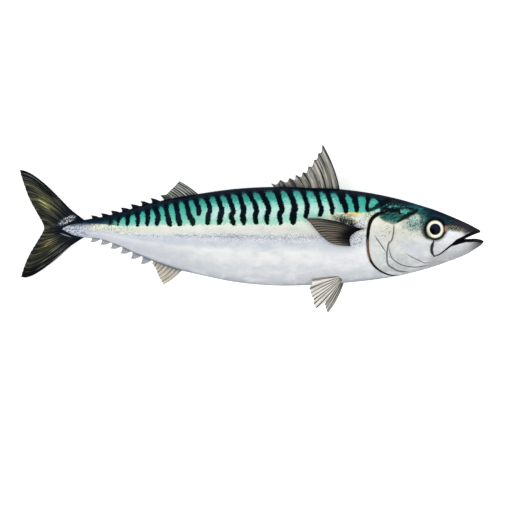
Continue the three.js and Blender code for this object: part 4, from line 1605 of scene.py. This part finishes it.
wing_rays = ray_patch(
    front=[
        (80.4, -0.7), (74.2, 0.6), (69.0, 2.0), (64.2, 3.9), (56.6, 5.6), (48.3, 6.9), (41.6, 7.2),
        (37.6, 6.6),
    ],
    rear=[(70.8, -13.1), (65.6, -13.0), (60.4, -12.3)],
    base=[(80.4, -0.7), (77.0, -1.8), (73.5, -3.6), (71.1, -5.7), (70.0, -8.6), (70.8, -13.1)],
    outer=[(37.6, 6.6), (41.2, 4.2), (45.2, -0.8), (51.1, -7.0), (55.9, -10.8), (60.4, -12.3)],
    count=14,
)
dark_web = dark_fin_material()
for side_name, lie, root_half, fold in (
    ("right", right_pectoral_lie, 0.55, 0.1),
    ("left", left_pectoral_lie, 0.45, 0.0),
):
    name = f"pectoral_{side_name}"
    wing = add_piece(name, fin_mesh(
        name, wing_rays, lie, root_half, tip_half=0.2, web_half=0.14, notches=0.25, fold=fold
    ))
    wing.data.materials.append(dark_web)
    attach(wing, "root")
    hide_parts(f"pectoral_fin_{side_name}")


# ---- Tail fin -----------------------------------------------------------------------------
# A stiff forked fin whose many rays grip the end of the spine. Each lobe is dark olive with
# yellow-green streaks between black edges.

LOBE_RAYS = 13
NOTCH = (-150.0, -0.1)
SPINE_END = (-136.0, -0.4)
upper_lobe = ray_patch(
    front=[
        (-119.5, 4.8), (-130.7, 13.4), (-139.4, 22.3), (-148.7, 31.3), (-157.4, 38.1), (-163.7, 41.2),
        (-167.8, 42.0),
    ],
    rear=[SPINE_END, NOTCH],
    base=[(-119.5, 4.8), (-127.0, 3.0), (-132.6, 1.2), SPINE_END],
    outer=[(-167.8, 42.0), (-165.9, 35.2), (-161.2, 22.0), (-155.6, 11.4), (-151.4, 4.2), NOTCH],
    count=LOBE_RAYS, steps=44,
)
lower_lobe = ray_patch(
    front=[
        (-119.0, -5.4), (-130.9, -13.2), (-139.8, -21.2), (-148.7, -28.2), (-157.2, -33.7), (-163.0, -35.7),
        (-166.9, -35.2),
    ],
    rear=[SPINE_END, NOTCH],
    base=[(-119.0, -5.4), (-127.0, -4.0), (-132.6, -2.2), SPINE_END],
    outer=[(-166.9, -35.2), (-164.2, -26.8), (-160.5, -18.6), (-155.0, -9.4), (-151.2, -3.2), NOTCH],
    count=LOBE_RAYS, steps=44,
)
tail_rays = np.vstack([upper_lobe, lower_lobe[-2::-1]])


def tail_material():
    coat = fin_coat(
        "tail_membrane", Membrane="34362b", Light="5d5e48", Ray="0f1314", Root="0a1018", Rim="181b1b",
        Root_Reach=0.2, Rim_Reach=0.03, Width=0.5, Lines=0.55, Streaks=0.7,
    )
    along, across = coat.field("along"), coat.field("across")
    x = shader(coat.tree, "ShaderNodeSeparateXYZ", {0: millimetres(coat.tree)}, out="X")
    place = shader(coat.tree, "ShaderNodeCombineXYZ", {0: across, 1: along})
    hair = noise(stretched(place, (2.6, 2.6, 1)), 1.0, 4.0, 0.65)
    fine = noise(stretched(place, (3.2, 1.8, 1)), 1.0, 3.0, 0.6)
    last = 2 * LOBE_RAYS - 2
    middle = abs(across - last / 2)

    # yellow-green streaks inside the upper lobe, and a small amber patch in the lower one
    streaks = hair.step(0.44, 0.58)
    glow = coat.oval((-150.8, 19.0), (12.5, 3.2), -47, 0.6, 0.6) * streaks * 0.6
    coat.lay(glow, "87875a")
    bright = coat.oval((-150.6, 18.0), (5.4, 1.5), -42, 0.7, 0.6) * fine.step(0.47, 0.53) * 0.8
    coat.lay(bright, "dcdc92")
    glow = coat.oval((-147.6, -10.0), (8.0, 3.6), 40, 0.6, 0.6) * streaks * 0.4
    coat.lay(glow, "7f7c4e")
    amber = coat.oval((-147.2, -11.2), (3.4, 1.0), 42, 0.7, 0.6) * fine.step(0.47, 0.55) * 0.5
    coat.lay(amber, "c39a58")

    tips = x.step(-162.0, -152.0, 1.0, 0.0) * fine.step(0.44, 0.58) * 0.12
    coat.lay(tips, "8b8a77")
    strands = noise(stretched(place, (2.7, 1.3, 1)), 1.0, 2.0, 0.6)
    coat.lay(strands.step(0.5, 0.55) * 0.75, "0b0e0f")
    pale_strands = strands.step(0.42, 0.36) * along.step(0.6, 0.9, 0.5, 0.22)
    coat.lay(pale_strands, "a9aa8c")
    low_tip = coat.oval((-160.0, -31.0), (10.0, 6.0), 58, 0.5, 0.7) * 0.5
    coat.lay(low_tip, "101618")
    high_tip = coat.oval((-166.0, 41.0), (6.0, 4.0), -50, 0.5, 0.7) * 0.5
    coat.lay(high_tip, "14181a")

    # black edges with fine grey lines, and the dark root round the spine's end
    edge = middle.step(last / 2 - 2.8, last / 2 - 1.2)
    coat.lay(edge * 0.8, "0a0e12")
    lines = edge * fine.step(0.55, 0.62) * along.step(0.1, 0.3) * 0.6
    coat.lay(lines, "8b9194")
    root = coat.oval((-130.0, 0.0), (14.5, 16.0), 0, 0.5, 0.4) * 0.85
    coat.lay(root, "0b1420")
    scales = coat.specks(0.9, 1.1)
    patch = coat.oval((-133.4, 5.6), (5.6, 2.0), 26, 1.2, 0.5)
    coat.lay(patch * 0.6, "454b56")
    coat.lay(patch * scales * 0.8, "dde1e8")
    thread = coat.oval((-134.4, -5.2), (3.8, 0.42), -19, 0.3, 0.5)
    coat.lay(thread * 0.5, "a9aaa6")
    dark = highest(edge * 0.85, root) * (1.0 - patch)
    return fin_finish(coat, 0.42, 0.35, {"Specular IOR Level": 0.05, "Metallic": dark})


tail = add_piece("tail_fin", fin_mesh(
    "tail_fin", tail_rays, lambda x, y: middle_at(x), root_half=1.0, tip_half=0.22, web_half=0.16,
    notches=0.25, fold=0.12,
))
tail.data.materials.append(tail_material())
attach(tail, "root")
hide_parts("caudal_fin")


# ---- Studio -------------------------------------------------------------------------------
# A plain pale table that the fish lies on, under soft light from all round. The camera looks
# straight down at the right flank.

bpy.ops.mesh.primitive_plane_add(size=4.0, location=(0, 0, 0))
table = bpy.context.object
table.name = "table"
paper = {"Base Color": (1, 1, 1, 1), "Roughness": 1.0, "Specular IOR Level": 0.0}
paper |= {"Emission Color": (1, 1, 1, 1), "Emission Strength": 0.42}
table.data.materials.append(Coat("pale_table").finish(paper))

# The light all round is bright low down and dim straight above, which keeps dark skin dark.
world = bpy.data.worlds.new("studio")
bpy.context.scene.world = world
world.use_nodes = True
sky = world.node_tree
direction = shader(sky, "ShaderNodeTexCoord", out="Generated")
upward = shader(sky, "ShaderNodeSeparateXYZ", {0: direction}, out="Z")
fill(sky.nodes["Background"], {"Color": (1, 1, 1, 1), "Strength": upward.step(0.84, 0.96, 1.05, 0.1)})


def soft_box(name, place, size, watts):
    """A large soft light that faces the fish."""
    lamp = bpy.data.lights.new(name, "AREA")
    lamp.size = size
    lamp.energy = watts
    made = bpy.data.objects.new(name, lamp)
    made.location = place
    made.rotation_euler = Vector(place).to_track_quat("Z", "Y").to_euler()
    bpy.context.scene.collection.objects.link(made)


soft_box("key_light", (-0.7, 0.9, 1.3), 0.9, 6)
soft_box("fill_light", (0.8, -0.9, 1.2), 1.0, 3)

LENS = 600.0
FILM = 36.0
FIELD = 368.64 * MM  # width of the view at the fish's middle plane
AIM = (2.9, -20.2, 18.0)  # the point straight below the camera, on that plane
camera_data = bpy.data.cameras.new("camera")
camera_data.lens = LENS
camera_data.sensor_width = FILM
camera = bpy.data.objects.new("camera", camera_data)
camera.location = (AIM[0] * MM, AIM[1] * MM, AIM[2] * MM + FIELD * LENS / FILM)
bpy.context.scene.collection.objects.link(camera)
bpy.context.scene.camera = camera
bpy.context.scene.view_settings.view_transform = "Standard"
